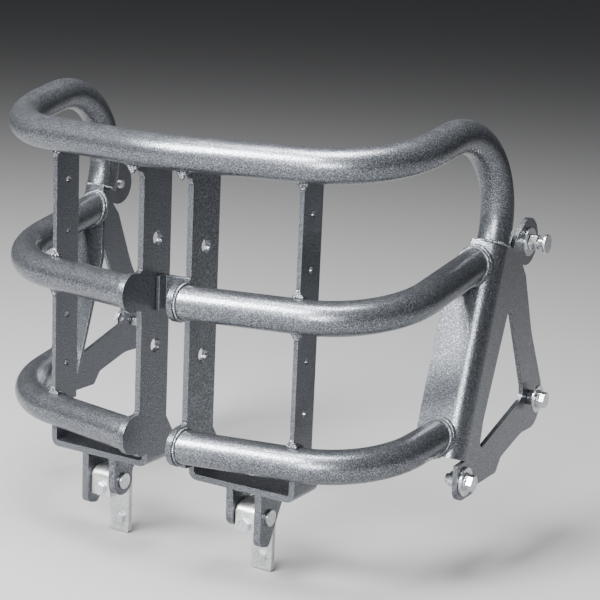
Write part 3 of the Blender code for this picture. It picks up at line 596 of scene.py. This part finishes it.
class Bench:
    """Edit-mode tools, used the way a modeller uses them by hand."""

    @staticmethod
    def clear() -> None:
        """Leave edit mode and deselect everything."""
        if bpy.context.object is not None and bpy.context.object.mode != "OBJECT":
            bpy.ops.object.mode_set(mode="OBJECT")
        bpy.ops.object.select_all(action="DESELECT")

    @staticmethod
    def hold(piece: bpy.types.Object) -> None:
        """Make a piece the only selected and active one.

        Args:
            piece: The piece.
        """
        Bench.clear()
        piece.select_set(True)
        bpy.context.view_layer.objects.active = piece

    @staticmethod
    def settle(piece: bpy.types.Object, name: str) -> bpy.types.Object:
        """Put a piece's place into its mesh and name it.

        Args:
            piece: The piece.
            name: Its name, and its mesh's.

        Returns:
            The piece.
        """
        Bench.hold(piece)
        bpy.ops.object.transform_apply(location=True, rotation=True, scale=True)
        piece.name = name
        piece.data.name = name
        return piece

    @staticmethod
    def apply(piece: bpy.types.Object) -> None:
        """Apply every modifier of a piece in order.

        Args:
            piece: The piece.
        """
        Bench.hold(piece)
        for modifier in list(piece.modifiers):
            bpy.ops.object.modifier_apply(modifier=modifier.name)

    @staticmethod
    def smooth(piece: bpy.types.Object, degrees: float = KEEN_DEGREES) -> None:
        """Shade smooth, with edges sharper than an angle kept."""
        Bench.hold(piece)
        bpy.ops.object.shade_smooth_by_angle(angle=math.radians(degrees))

    @staticmethod
    def bevel(piece: bpy.types.Object, width: float, segments: int) -> None:
        """Round the keen edges of a piece.

        Args:
            piece: The piece.
            width: Width of the rounding.
            segments: Steps across it.
        """
        modifier = piece.modifiers.new("edges", "BEVEL")
        modifier.width = width
        modifier.segments = segments
        modifier.limit_method = "ANGLE"
        modifier.angle_limit = math.radians(KEEN_DEGREES)
        modifier.use_clamp_overlap = True
        Bench.apply(piece)

    @staticmethod
    def flatten_normals(piece: bpy.types.Object) -> None:
        """Let the large faces keep their own normals beside the rounded edges.

        Args:
            piece: The piece.
        """
        modifier = piece.modifiers.new("normals", "WEIGHTED_NORMAL")
        modifier.mode = "FACE_AREA"
        modifier.weight = 100
        modifier.keep_sharp = True
        Bench.apply(piece)


@dataclass
class Dresser:
    """Gives a finished piece the material of its slot, puts it on its body and hides the CAD nodes it stands
    for.
    """

    materials: dict[Slot, bpy.types.Material]

    def dress(self, piece: bpy.types.Object, slot: Slot, body: str, nodes: Sequence[str] = ()) -> None:
        """Finish a piece.

        Args:
            piece: The piece.
            slot: Its finish.
            body: The CAD body that carries it.
            nodes: CAD nodes that it stands for.
        """
        piece.data.materials.clear()
        piece.data.materials.append(self.materials[slot])
        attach(piece, body)
        if nodes:
            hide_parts(*nodes)
        LOG.info("piece %s on %s", piece.name, body)


@dataclass(frozen=True)
class TubeRun:
    """Where a middle or lower tube runs, from its nose to the bracket's flange."""

    row: str
    height: float
    nose_y: float
    corner_x: float
    end_x: float
    end_z: float


@dataclass(frozen=True)
class Layout:
    """The guard's layout sizes, measured on the bench, and the datum that moves it to the frame."""

    datum: Vector
    tube_radius: float = 0.0212
    tube_wall: float = 0.0026
    nose_sweep: float = math.radians(11.0)
    nose_bend: float = 0.300
    corner_bend: float = 0.128
    knee_bend: float = 0.104
    top_z: float = 0.362
    middle_z: float = 0.183
    lower_z: float = 0.0
    top_nose_y: float = -0.007
    middle_nose_y: float = -0.005
    lower_nose_y: float = 0.001
    top_corner_x: float = 0.288
    middle_corner_x: float = 0.288
    lower_corner_x: float = 0.276
    post_x: float = 0.3095
    post_lean: float = math.radians(18.5)
    knee_y: float = 0.353
    knee_z: float = 0.4266
    seam_drop: float = 0.1866
    middle_end_x: float = 0.298
    middle_end_z: float = 0.224
    lower_end_x: float = 0.295
    lower_end_z: float = 0.017
    upright_face_x: float = 0.040
    upright_x: float = 0.036
    bar_x: float = 0.1813
    bar_thickness: float = 0.006
    bar_front_y: float = 0.0327

    def runs(self) -> tuple[TubeRun, TubeRun]:
        """The middle and the lower tube's runs.

        Returns:
            The middle run, then the lower one.
        """
        return (TubeRun("middle", self.middle_z, self.middle_nose_y, self.middle_corner_x,
                        self.middle_end_x, self.middle_end_z),
                TubeRun("lower", self.lower_z, self.lower_nose_y, self.lower_corner_x,
                        self.lower_end_x, self.lower_end_z))

    def place(self, x: float, y: float, z: float) -> Vector:
        """Move a layout point to the frame."""
        return Vector((x, y, z)) + self.datum

    def swept_y(self, nose_y: float, x: float) -> float:
        """Y of a swept half's centre line, clear of the nose bend."""
        return nose_y + abs(x) * math.tan(self.nose_sweep)

    def near_nose_y(self, nose_y: float, x: float) -> float:
        """Y of a tube's centre line inside the nose bend."""
        apex = nose_y + self.nose_bend / math.cos(self.nose_sweep)
        return apex - math.sqrt(self.nose_bend ** 2 - x ** 2)

    def post_axis_y(self, z: float) -> float:
        """Y of the post's axis at a height."""
        return self.knee_y - (self.knee_z - z) * math.tan(self.post_lean)

    def post_front_y(self, z: float) -> float:
        """Y of the flange's front face at a height."""
        return self.post_axis_y(z) - self.tube_radius / math.cos(self.post_lean)

    def along_post(self, drop: float) -> tuple[float, float]:
        """(Y, Z) of the post's axis a distance down from the knee."""
        return (self.knee_y - drop * math.sin(self.post_lean),
                self.knee_z - drop * math.cos(self.post_lean))


Corner = tuple[Vector, float]


@dataclass
class BentTube:
    """A drawn tube, swept through its bends and open at both ends."""

    name: str
    corners: list[Corner]
    radius: float
    sides: int = 48
    degrees_per_step: float = 5.0
    least_steps: int = 4

    def build(self) -> bpy.types.Object:
        """Extrude and spin a circle along the corners.

        Returns:
            The open tube, ready to be trimmed.
        """
        Bench.clear()
        start = self.corners[0][0]
        heading = (self.corners[1][0] - start).normalized()
        bpy.ops.mesh.primitive_circle_add(vertices=self.sides, radius=self.radius, fill_type="NOTHING",
                                          location=start, rotation=heading.to_track_quat("Z", "Y").to_euler())
        piece = bpy.context.object
        bpy.ops.object.transform_apply(location=True, rotation=True, scale=True)
        bpy.ops.object.mode_set(mode="EDIT")
        bpy.ops.mesh.select_all(action="SELECT")
        here = start
        for index in range(1, len(self.corners) - 1):
            here = self._bend(here, index)
        self._draw(self.corners[-1][0] - here)
        bpy.ops.mesh.select_all(action="SELECT")
        bpy.ops.mesh.normals_make_consistent(inside=False)
        bpy.ops.object.mode_set(mode="OBJECT")
        return Bench.settle(piece, self.name)

    def _draw(self, run: Vector) -> None:
        """Extrude the open end along a straight run."""
        bpy.ops.mesh.extrude_edges_move(TRANSFORM_OT_translate={"value": run})

    def _bend(self, here: Vector, index: int) -> Vector:
        """Draw to a corner's bend and spin through it.

        Args:
            here: Where the open end is.
            index: The corner's index.

        Returns:
            Where the open end is after the bend.
        """
        corner, bend = self.corners[index]
        before = (self.corners[index - 1][0] - corner).normalized()
        after = (self.corners[index + 1][0] - corner).normalized()
        half = before.angle(after) / 2
        reach = bend / math.tan(half)
        centre = corner + (before + after).normalized() * bend / math.sin(half)
        first = corner + before * reach
        last = corner + after * reach
        self._draw(first - here)
        axis = (first - centre).cross(last - centre).normalized()
        turn = (first - centre).angle(last - centre)
        steps = max(self.least_steps, round(math.degrees(turn) / self.degrees_per_step))
        bpy.ops.mesh.spin(steps=steps, angle=-turn, center=centre, axis=axis)
        return last


def trim(piece: bpy.types.Object, point: Vector, normal: Vector) -> None:
    """Cut a piece by a plane and drop what lies on the normal's side.

    Args:
        piece: The piece.
        point: A point of the plane.
        normal: The plane's normal.
    """
    Bench.hold(piece)
    bpy.ops.object.mode_set(mode="EDIT")
    bpy.ops.mesh.select_all(action="SELECT")
    bpy.ops.mesh.bisect(plane_co=point, plane_no=normal, clear_outer=True)
    bpy.ops.object.mode_set(mode="OBJECT")


def give_wall(piece: bpy.types.Object, wall: float) -> None:
    """Thicken an open tube inward.

    Args:
        piece: The open tube.
        wall: Thickness of its wall.
    """
    shell = piece.modifiers.new("wall", "SOLIDIFY")
    shell.thickness = wall
    shell.offset = -1
    Bench.apply(piece)
    Bench.smooth(piece)


@dataclass
class WeldBead:
    """A run of weld, laid as overlapping drops along a path."""

    name: str
    path: list[Vector]
    radius: float
    pitch: float
    seed: int
    size_range: tuple[float, float] = (0.88, 1.10)
    flatness: float = 0.72
    shortest: float = 1e-7

    def build(self) -> bpy.types.Object:
        """Lay the drops and return them as one piece.

        Returns:
            The bead.
        """
        Bench.clear()
        bpy.ops.mesh.primitive_ico_sphere_add(subdivisions=2, radius=1.0)
        drop = bpy.context.object
        drop_mesh = drop.data
        chance = random.Random(self.seed)
        shape = bmesh.new()
        for place, ahead in self._stations():
            size = self.radius * chance.uniform(*self.size_range)
            turn = ahead.to_track_quat("Z", "Y").to_matrix().to_4x4()
            flat = Matrix.Diagonal((size, size, size * self.flatness, 1.0))
            copy = drop_mesh.copy()
            copy.transform(Matrix.Translation(place) @ turn @ flat)
            shape.from_mesh(copy)
            bpy.data.meshes.remove(copy)
        bpy.data.objects.remove(drop)
        mesh = bpy.data.meshes.new(self.name)
        shape.to_mesh(mesh)
        shape.free()
        piece = bpy.data.objects.new(self.name, mesh)
        bpy.context.scene.collection.objects.link(piece)
        Bench.hold(piece)
        bpy.ops.object.shade_smooth()
        return piece

    def _stations(self) -> Iterable[tuple[Vector, Vector]]:
        """Step along the path at every pitch.

        Returns:
            The (place, direction) pairs, one by one.
        """
        left = 0.0
        for first, last in zip(self.path, self.path[1:]):
            run = last - first
            length = run.length
            if length < self.shortest:
                continue
            ahead = run / length
            along = left
            while along < length:
                yield first + ahead * along, ahead
                along += self.pitch
            left = along - length


# ---------------------------------------------------------------- sub-assemblies


@dataclass
class TubeSet:
    """The top hoop and the four shorter tubes."""

    layout: Layout
    dresser: Dresser
    upright_gap: float = 0.0004
    flange_bite: float = 0.004

    def build(self) -> None:
        """Build and dress every tube."""
        self._top()
        for side, label in SIDES:
            for run in self.layout.runs():
                self._side(f"{run.row}_tube_{label}", side, run)

    def _top(self) -> None:
        """Build the hoop from post to post."""
        lay = self.layout
        corner_y = lay.swept_y(lay.top_nose_y, lay.top_corner_x)
        half = [(lay.place(lay.top_corner_x, corner_y, lay.top_z), lay.corner_bend),
                (lay.place(lay.post_x, lay.knee_y, lay.knee_z), lay.knee_bend),
                (lay.place(lay.post_x, *lay.along_post(lay.seam_drop)), 0.0)]
        mirrored = [(Vector((-point.x, point.y, point.z)), bend) for point, bend in reversed(half)]
        nose = [(lay.place(0.0, lay.top_nose_y, lay.top_z), lay.nose_bend)]
        piece = BentTube("hoop_tube", mirrored + nose + half, lay.tube_radius).build()
        give_wall(piece, lay.tube_wall)
        self.dresser.dress(piece, Slot.PAINT, GUARD, ["top_hoop_tube"])

    def _side(self, node: str, side: int, run: TubeRun) -> None:
        """Build one middle or lower tube, cut square to its upright and to its flange.

        Args:
            node: The CAD node it stands for.
            side: 1 for +X, -1 for -X.
            run: Where the tube runs.
        """
        lay = self.layout
        corner = Vector((run.corner_x, lay.swept_y(run.nose_y, run.corner_x), run.height))
        end = Vector((run.end_x, lay.post_front_y(run.end_z), run.end_z))
        beyond = end + (end - corner).normalized() * lay.tube_radius
        points = [(Vector((0.0, run.nose_y, run.height)), 0.0), (corner, lay.corner_bend), (beyond, 0.0)]
        corners = [(lay.place(side * point.x, point.y, point.z), bend) for point, bend in points]
        piece = BentTube(node + "_drawn", corners, lay.tube_radius).build()
        inner = lay.place(side * (lay.upright_face_x + self.upright_gap), 0.0, 0.0)
        trim(piece, inner, Vector((-side, 0.0, 0.0)))
        front = lay.place(side * end.x, end.y + self.flange_bite, end.z)
        trim(piece, front, Vector((0.0, math.cos(lay.post_lean), -math.sin(lay.post_lean))))
        give_wall(piece, lay.tube_wall)
        self.dresser.dress(piece, Slot.PAINT, GUARD, [node])


@dataclass
class WeldSet:
    """Weld beads at the tube ends, the uprights, the bars and the seams."""

    layout: Layout
    dresser: Dresser
    ring_steps: int = 48
    ring_stand: float = 0.0004
    upright_stand: float = 0.0012
    upright_bead: float = 0.0026
    post_beads: tuple[tuple[str, float, float], ...] = (("root", 0.0, 0.0036), ("cap", 0.0052, 0.0026))
    seam_start: float = -200.0
    seam_turn: float = 235.0
    seam_sink: float = 0.0006
    seam_bead: float = 0.0022
    seam_pitch: float = 0.0017
    seat_steps: int = 14
    seat_stand: float = 0.0012
    upright_half: float = 0.0045
    upright_arc: tuple[float, float] = (-92.0, -28.0)
    upright_flare_y: float = -0.0022
    upright_flare_gap: float = 0.0016
    flare_rows: tuple[tuple[float, float], ...] = ((0.0, 0.0060), (0.0022, 0.0042),
                                                   (0.0044, 0.0026), (0.0066, 0.0012))
    flare_bead: float = 0.0025
    flare_pitch: float = 0.0012
    bar_gap: float = 0.0006
    bar_arc: tuple[float, float] = (24.0, 92.0)
    bar_bead: float = 0.0025
    bar_flare_gap: float = 0.0014

    def build(self) -> None:
        """Lay every bead."""
        for side, label in SIDES:
            for run in self.layout.runs():
                self._upright_ring(run, label, side)
                self._post_ring(run, label, side)
            self._seam_ring(label, side)
            self._upright_top(label, side)
            for upper in (True, False):
                self._bar_ends(label, side, upper)

    def _lay(self, name: str, path: list[Vector], radius: float, pitch: float = BEAD_PITCH) -> None:
        """Lay one bead and dress it."""
        bead = WeldBead(name, path, radius, pitch, seed=len(name) * 7 + len(path)).build()
        self.dresser.dress(bead, Slot.PAINT, GUARD)

    def _upright_ring(self, run: TubeRun, label: str, side: int) -> None:
        """Bead round a tube where it meets its centre upright.

        Args:
            run: Where the tube runs.
            label: The side's name.
            side: 1 for +X, -1 for -X.
        """
        lay = self.layout
        x = lay.upright_face_x + self.upright_stand
        y = lay.near_nose_y(run.nose_y, x)
        reach = lay.tube_radius + self.ring_stand
        path = [lay.place(side * x, y + reach * math.cos(turn), run.height + reach * math.sin(turn))
                for turn in self._turns()]
        self._lay(f"weld_{run.row}_tube_to_upright_{label}", path, self.upright_bead)

    def _turns(self) -> list[float]:
        """Angles once round a ring."""
        return [math.tau * step / self.ring_steps for step in range(self.ring_steps + 1)]

    def _post_ring(self, run: TubeRun, label: str, side: int) -> None:
        """Two passes of bead where a tube meets the flange and the fold.

        Args:
            run: Where the tube runs.
            label: The side's name.
            side: 1 for +X, -1 for -X.
        """
        lay = self.layout
        corner = Vector((run.corner_x, lay.swept_y(run.nose_y, run.corner_x), run.height))
        end = Vector((run.end_x, lay.post_front_y(run.end_z), run.end_z))
        heading = (end - corner).normalized()
        across = heading.cross(Vector((0.0, 0.0, 1.0))).normalized()
        above = across.cross(heading).normalized()
        reach = lay.tube_radius + self.ring_stand
        for part, back, size in self.post_beads:
            path = []
            for turn in self._turns():
                rim = end + (across * math.cos(turn) + above * math.sin(turn)) * reach
                met = self._on_fold(rim, heading) - heading * back
                path.append(lay.place(side * met.x, met.y, met.z))
            self._lay(f"weld_{run.row}_tube_to_bracket_{part}_{label}", path, size)

    def _on_fold(self, rim: Vector, heading: Vector) -> Vector:
        """Slide a rim point along the tube until it lies on the flange or the fold.

        Args:
            rim: A point of the tube's rim, in layout places.
            heading: The tube's direction.

        Returns:
            The point on the bracket's front surface.
        """
        lay = self.layout
        forward = Vector((0.0, -math.cos(lay.post_lean), math.sin(lay.post_lean)))
        axis_point = Vector((0.0, lay.knee_y, lay.knee_z))
        beyond = max(0.0, rim.x - lay.post_x)
        depth = math.sqrt(max(lay.tube_radius ** 2 - min(beyond, lay.tube_radius) ** 2, 0.0))
        gap = (rim - axis_point).dot(forward) - depth
        return rim - heading * (gap / heading.dot(forward))

    def _seam_ring(self, label: str, side: int) -> None:
        """Bead round the hoop's end where it meets the bracket.

        Args:
            label: The side's name.
            side: 1 for +X, -1 for -X.
        """
        lay = self.layout
        y, z = lay.along_post(lay.seam_drop)
        rear = Vector((0.0, math.cos(lay.post_lean), -math.sin(lay.post_lean)))
        path = []
        for step in range(self.ring_steps + 1):
            turn = math.radians(self.seam_start + self.seam_turn * step / self.ring_steps)
            offset = Vector((math.cos(turn), 0.0, 0.0)) + rear * math.sin(turn)
            spot = Vector((lay.post_x, y, z)) + offset * (lay.tube_radius - self.seam_sink)
            path.append(lay.place(side * spot.x, spot.y, spot.z))
        self._lay(f"weld_hoop_to_bracket_{label}", path, self.seam_bead, self.seam_pitch)

    def _seat(self, x: float, centre_y: float, centre_z: float, start: float, end: float) -> list[Vector]:
        """Arc of a plate's seat on a tube.

        Args:
            x: Where the plate's face stands.
            centre_y: Y of the tube's centre line there.
            centre_z: Z of the tube's centre line there.
            start: First angle in degrees.
            end: Last angle in degrees.

        Returns:
            The arc's points.
        """
        lay = self.layout
        turns = [math.radians(start + (end - start) * step / self.seat_steps)
                 for step in range(self.seat_steps + 1)]
        reach = lay.tube_radius + self.seat_stand
        return [lay.place(x, centre_y + reach * math.cos(turn), centre_z + reach * math.sin(turn))
                for turn in turns]

    def _upright_top(self, label: str, side: int) -> None:
        """Beads each side of an upright under the hoop.

        Args:
            label: The side's name.
            side: 1 for +X, -1 for -X.
        """
        lay = self.layout
        centre_y = lay.near_nose_y(lay.top_nose_y, lay.upright_x)
        for edge, offset in (("outer", self.upright_half), ("inner", -self.upright_half)):
            path = self._seat(side * (lay.upright_x + offset), centre_y, lay.top_z, *self.upright_arc)
            self._lay(f"weld_upright_{edge}_{label}", path, BEAD_RADIUS)
        self._flare(f"weld_upright_front_{label}", side * lay.upright_x, centre_y + self.upright_flare_y,
                    lay.top_z - lay.tube_radius - self.upright_flare_gap, -1)

    def _flare(self, name: str, x: float, y: float, z: float, above: int) -> None:
        """Triangular build-up where a plate's front edge meets a tube.

        Args:
            name: The piece's name.
            x: Middle of the plate, in layout places.
            y: Front of the plate.
            z: Height of the tube's surface.
            above: 1 when the plate stands on the tube, -1 when it hangs from it.
        """
        path = []
        for drop, half in self.flare_rows:
            row = [-half, half] if len(path) % 4 == 0 else [half, -half]
            path += [self.layout.place(x + offset, y, z + above * drop) for offset in row]
        self._lay(name, path, self.flare_bead, self.flare_pitch)

    def _bar_ends(self, label: str, side: int, upper: bool) -> None:
        """Beads at both ends of an outer bar.

        Args:
            label: The side's name.
            side: 1 for +X, -1 for -X.
            upper: True for the upper bar.
        """
        lay = self.layout
        rows = ((lay.middle_z, lay.middle_nose_y, 1), (lay.top_z, lay.top_nose_y, -1))
        if not upper:
            rows = ((lay.lower_z, lay.lower_nose_y, 1), (lay.middle_z, lay.middle_nose_y, -1))
        half = lay.bar_thickness / 2 + self.bar_gap
        part = "upper" if upper else "lower"
        for height, nose_y, above in rows:
            end = "foot" if above > 0 else "head"
            for edge, offset in (("outer", half), ("inner", -half)):
                centre_y = lay.swept_y(nose_y, lay.bar_x + offset)
                arc = (above * self.bar_arc[0], above * self.bar_arc[1])
                path = self._seat(side * (lay.bar_x + offset), centre_y, height, *arc)
                self._lay(f"weld_{part}_bar_{end}_{edge}_{label}", path, self.bar_bead)
            centre_y = lay.swept_y(nose_y, lay.bar_x)
            gap = lay.bar_front_y - centre_y
            rise = math.sqrt(lay.tube_radius ** 2 - gap ** 2) + self.bar_flare_gap
            self._flare(f"weld_{part}_bar_{end}_front_{label}", side * lay.bar_x,
                        lay.bar_front_y + self.bar_gap, height + above * rise, above)


@dataclass(frozen=True)
class Dressed:
    """How a carried-over node is dressed: its finish, body and edge radius."""

    slot: Slot
    body: str
    edge: float
    segments: int = 2


@dataclass
class PlateWork:
    """Plates, lugs, blocks, straps and fasteners, with their edges broken as on the real pieces."""

    frame: dict
    dresser: Dresser

    def rules(self) -> dict[str, Dressed]:
        """List how each kind of node is dressed.

        Returns:
            Finish, body and edge radius by the start of a node's name.
        """
        return {
            "hinge_block": Dressed(Slot.GALVANISED, MOUNTS, 0.0010),
            "hinge_strap": Dressed(Slot.GALVANISED, MOUNTS, 0.0008),
            "hinge_pin": Dressed(Slot.ZINC, MOUNTS, 0.0007),
            "block_bolt": Dressed(Slot.ZINC, MOUNTS, 0.0006),
            "strap_bolt": Dressed(Slot.ZINC, MOUNTS, 0.0006),
            "pin_ring": Dressed(Slot.BLACK, MOUNTS, 0.0003),
            "centre_upright": Dressed(Slot.PAINT, GUARD, 0.0011),
            "centre_link": Dressed(Slot.PAINT, GUARD, 0.0010),
            "upper_outer_bar": Dressed(Slot.PAINT, GUARD, 0.0010),
            "lower_outer_bar": Dressed(Slot.PAINT, GUARD, 0.0010),
            "inner_hinge_lug": Dressed(Slot.PAINT, GUARD, 0.0011),
            "outer_hinge_lug": Dressed(Slot.PAINT, GUARD, 0.0011),
            "side_bracket": Dressed(Slot.PAINT, GUARD, 0.0011),
            "middle_boss": Dressed(Slot.PAINT, GUARD, 0.0006),
            "upper_nut": Dressed(Slot.ZINC, GUARD, 0.0007),
            "upper_bolt": Dressed(Slot.ZINC, GUARD, 0.0006),
            "middle_bolt": Dressed(Slot.ZINC, GUARD, 0.0007),
            "lower_bolt": Dressed(Slot.ZINC, GUARD, 0.0007),
            "upper_washer": Dressed(Slot.ZINC, GUARD, 0.0004),
            "middle_big_washer": Dressed(Slot.ZINC, GUARD, 0.0004),
            "middle_small_washer": Dressed(Slot.ZINC, GUARD, 0.0003),
            "lower_big_washer": Dressed(Slot.ZINC, GUARD, 0.0004),
            "lower_small_washer": Dressed(Slot.ZINC, GUARD, 0.0003),
            "lower_spacer": Dressed(Slot.ZINC, GUARD, 0.0004),
        }

    def build(self) -> None:
        """Dress every node that the tubes don't stand for."""
        rules = self.rules()
        for node in sorted(self.frame["nodes"]):
            rule = next((rules[start] for start in rules if node.startswith(start)), None)
            if rule is not None:
                self._break_edges(node, rule)

    def _break_edges(self, node: str, rule: Dressed) -> None:
        """Copy a node, merge its faces and break its edges.

        Args:
            node: The CAD node.
            rule: Its finish and edge radius.
        """
        mesh = self.frame["nodes"][node].data.copy()
        piece = bpy.data.objects.new(node + "_dressed", mesh)
        bpy.context.scene.collection.objects.link(piece)
        Bench.hold(piece)
        bpy.ops.object.mode_set(mode="EDIT")
        bpy.ops.mesh.select_all(action="SELECT")
        bpy.ops.mesh.remove_doubles(threshold=MERGE_DISTANCE)
        bpy.ops.mesh.dissolve_limited(angle_limit=math.radians(FLAT_DEGREES))
        bpy.ops.object.mode_set(mode="OBJECT")
        Bench.bevel(piece, rule.edge, rule.segments)
        Bench.smooth(piece, PLATE_DEGREES)
        Bench.flatten_normals(piece)
        self.dresser.dress(piece, rule.slot, rule.body, [node])


@dataclass(frozen=True)
class ThreadRun:
    """Where a threaded length starts and which way along X it goes."""

    name: str
    start: Vector
    direction: int


@dataclass
class Threads:
    """Screw threads on the bolt ends that show."""

    frame: dict
    dresser: Dresser
    steps_per_turn: int = 20
    length: float = 0.0052
    radius: float = 0.0060
    pitch: float = 0.0013
    lead_in: float = 0.0008
    sink: float = 0.0001
    ridge_share: float = 0.42

    def build(self) -> None:
        """Cut a thread on each lower, middle and upper bolt end."""
        for node in sorted(self.frame["nodes"]):
            if node.startswith(("lower_bolt", "middle_bolt", "upper_bolt")):
                self._cut(self._run(node))

    def _run(self, node: str) -> ThreadRun:
        """Find the inner end of a bolt.

        Args:
            node: The bolt's CAD node.

        Returns:
            The threaded length.
        """
        low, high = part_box(node)
        side = -1 if low[0] + high[0] < 0 else 1
        inner = high[0] if side < 0 else low[0]
        centre = Vector((inner, (low[1] + high[1]) / 2, (low[2] + high[2]) / 2))
        return ThreadRun("thread_" + node, centre + Vector((side * self.lead_in, 0.0, 0.0)), side)

    def _cut(self, run: ThreadRun) -> None:
        """Wind a small ridge round the shank.

        Args:
            run: The threaded length.
        """
        Bench.clear()
        place = run.start + Vector((0.0, 0.0, self.radius - self.sink))
        bpy.ops.mesh.primitive_circle_add(vertices=3, radius=self.pitch * self.ridge_share,
                                          fill_type="NOTHING", location=place,
                                          rotation=(math.radians(90.0), 0.0, 0.0))
        piece = bpy.context.object
        bpy.ops.object.transform_apply(location=True, rotation=True, scale=True)
        piece.data.transform(Matrix.Translation(-run.start))
        winding = piece.modifiers.new("winding", "SCREW")
        winding.axis = "X"
        winding.steps = self.steps_per_turn
        winding.render_steps = self.steps_per_turn
        winding.iterations = round(self.length / self.pitch)
        winding.screw_offset = run.direction * self.pitch
        winding.angle = math.tau
        winding.use_merge_vertices = False
        winding.use_normal_calculate = True
        Bench.apply(piece)
        piece.data.transform(Matrix.Translation(run.start))
        Bench.hold(piece)
        bpy.ops.object.mode_set(mode="EDIT")
        bpy.ops.mesh.select_all(action="SELECT")
        bpy.ops.mesh.normals_make_consistent(inside=False)
        bpy.ops.object.mode_set(mode="OBJECT")
        Bench.settle(piece, run.name)
        Bench.smooth(piece, THREAD_DEGREES)
        self.dresser.dress(piece, Slot.ZINC, GUARD)


# ---------------------------------------------------------------- studio


@dataclass(frozen=True)
class SoftBox:
    """A round soft light."""

    name: str
    place: tuple[float, float, float]
    aim: tuple[float, float, float]
    size: float
    power: float

    def hang(self) -> None:
        """Add the light and turn it to its aim."""
        light = bpy.data.lights.new(self.name, "AREA")
        light.shape = "DISK"
        light.size = self.size
        light.energy = self.power
        lamp = bpy.data.objects.new(self.name, light)
        bpy.context.scene.collection.objects.link(lamp)
        lamp.location = self.place
        lamp.rotation_euler = (Vector(self.aim) - Vector(self.place)).to_track_quat("-Z", "Y").to_euler()


@dataclass(frozen=True)
class Studio:
    """Floor, lights and camera."""

    eye: tuple[float, float, float] = (1.1103, -1.6473, 0.7047)
    azimuth: float = math.radians(30.3)
    elevation: float = math.radians(12.8)
    roll: float = math.radians(2.5)
    focal: float = 96.8
    sensor: float = 36.0
    floor_size: float = 80.0
    floor_colour: tuple[float, float, float] = (0.25, 0.25, 0.254)
    floor_roughness: float = 0.9
    sky_colour: tuple[float, float, float] = (0.80, 0.82, 0.85)
    sky_strength: float = 0.12
    boxes: tuple[SoftBox, ...] = (
        SoftBox("key", (-0.7, -2.1, 2.2), (0.0, 0.1, 0.25), 1.4, 450.0),
        SoftBox("top", (0.0, -0.3, 2.6), (0.0, 0.1, 0.3), 1.2, 175.0),
        SoftBox("front", (0.8, -3.2, 1.0), (0.0, 0.1, 0.25), 1.2, 165.0))

    def build(self, floor_z: float) -> None:
        """Set up the studio.

        Args:
            floor_z: Height of the floor.
        """
        self._floor(floor_z)
        for box in self.boxes:
            box.hang()
        self._world()
        self._camera()

    def _floor(self, height: float) -> None:
        """Lay a plain floor.

        Args:
            height: Its height.
        """
        Bench.clear()
        bpy.ops.mesh.primitive_plane_add(size=self.floor_size, location=(0.0, 0.0, height))
        floor = bpy.context.object
        floor.name = "floor"
        made, _, shader = new_material("pale_floor")
        shader.inputs["Base Color"].default_value = (*self.floor_colour, 1.0)
        shader.inputs["Roughness"].default_value = self.floor_roughness
        floor.data.materials.append(made)
        floor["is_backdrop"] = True

    def _world(self) -> None:
        """Give the world a soft grey."""
        world = bpy.data.worlds.new("studio")
        bpy.context.scene.world = world
        world.use_nodes = True
        background = world.node_tree.nodes["Background"]
        background.inputs["Color"].default_value = (*self.sky_colour, 1.0)
        background.inputs["Strength"].default_value = self.sky_strength

    def _camera(self) -> None:
        """Set the camera, rolled a little about its own line of sight."""
        data = bpy.data.cameras.new("camera")
        data.lens = self.focal
        data.sensor_width = self.sensor
        camera = bpy.data.objects.new("camera", data)
        bpy.context.scene.collection.objects.link(camera)
        sweep, rise = self.azimuth, self.elevation
        ahead = Vector((-math.sin(sweep) * math.cos(rise), math.cos(sweep) * math.cos(rise),
                        -math.sin(rise)))
        right = Vector((math.cos(sweep), math.sin(sweep), 0.0))
        upward = right.cross(ahead)
        tilted = right * math.cos(self.roll) + upward * math.sin(self.roll)
        upright = upward * math.cos(self.roll) - right * math.sin(self.roll)
        turn = Matrix((tilted, upright, -ahead)).transposed().to_4x4()
        turn.translation = Vector(self.eye)
        camera.matrix_world = turn
        bpy.context.scene.camera = camera


def corner_lists(bounds: Sequence[Iterable[float]]) -> list[list[float]]:
    """Bounds as plain lists of numbers."""
    return [[float(number) for number in corner] for corner in bounds]


def main() -> None:
    """Build the looks in order."""
    logging.basicConfig(level=logging.INFO, format="%(message)s")
    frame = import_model()
    cad_box = corner_lists(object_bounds())
    groups = Groups.build()
    materials = {Slot.PAINT: HammeredPaint().build(groups), Slot.ZINC: PlatedZinc().build(groups),
                 Slot.GALVANISED: HotDipZinc().build(groups), Slot.BLACK: BlackPhosphate().build(groups)}
    dresser = Dresser(materials)
    pins = Vector(frame["joints"][0]["pos_m"])
    layout = Layout(datum=Vector((0.0, pins.y - PIN_LAYOUT_Y, pins.z - PIN_LAYOUT_Z)))
    TubeSet(layout, dresser).build()
    WeldSet(layout, dresser).build()
    PlateWork(frame, dresser).build()
    Threads(frame, dresser).build()
    Studio().build(cad_box[0][2] - FLOOR_GAP)


if __name__ == "__main__":
    main()
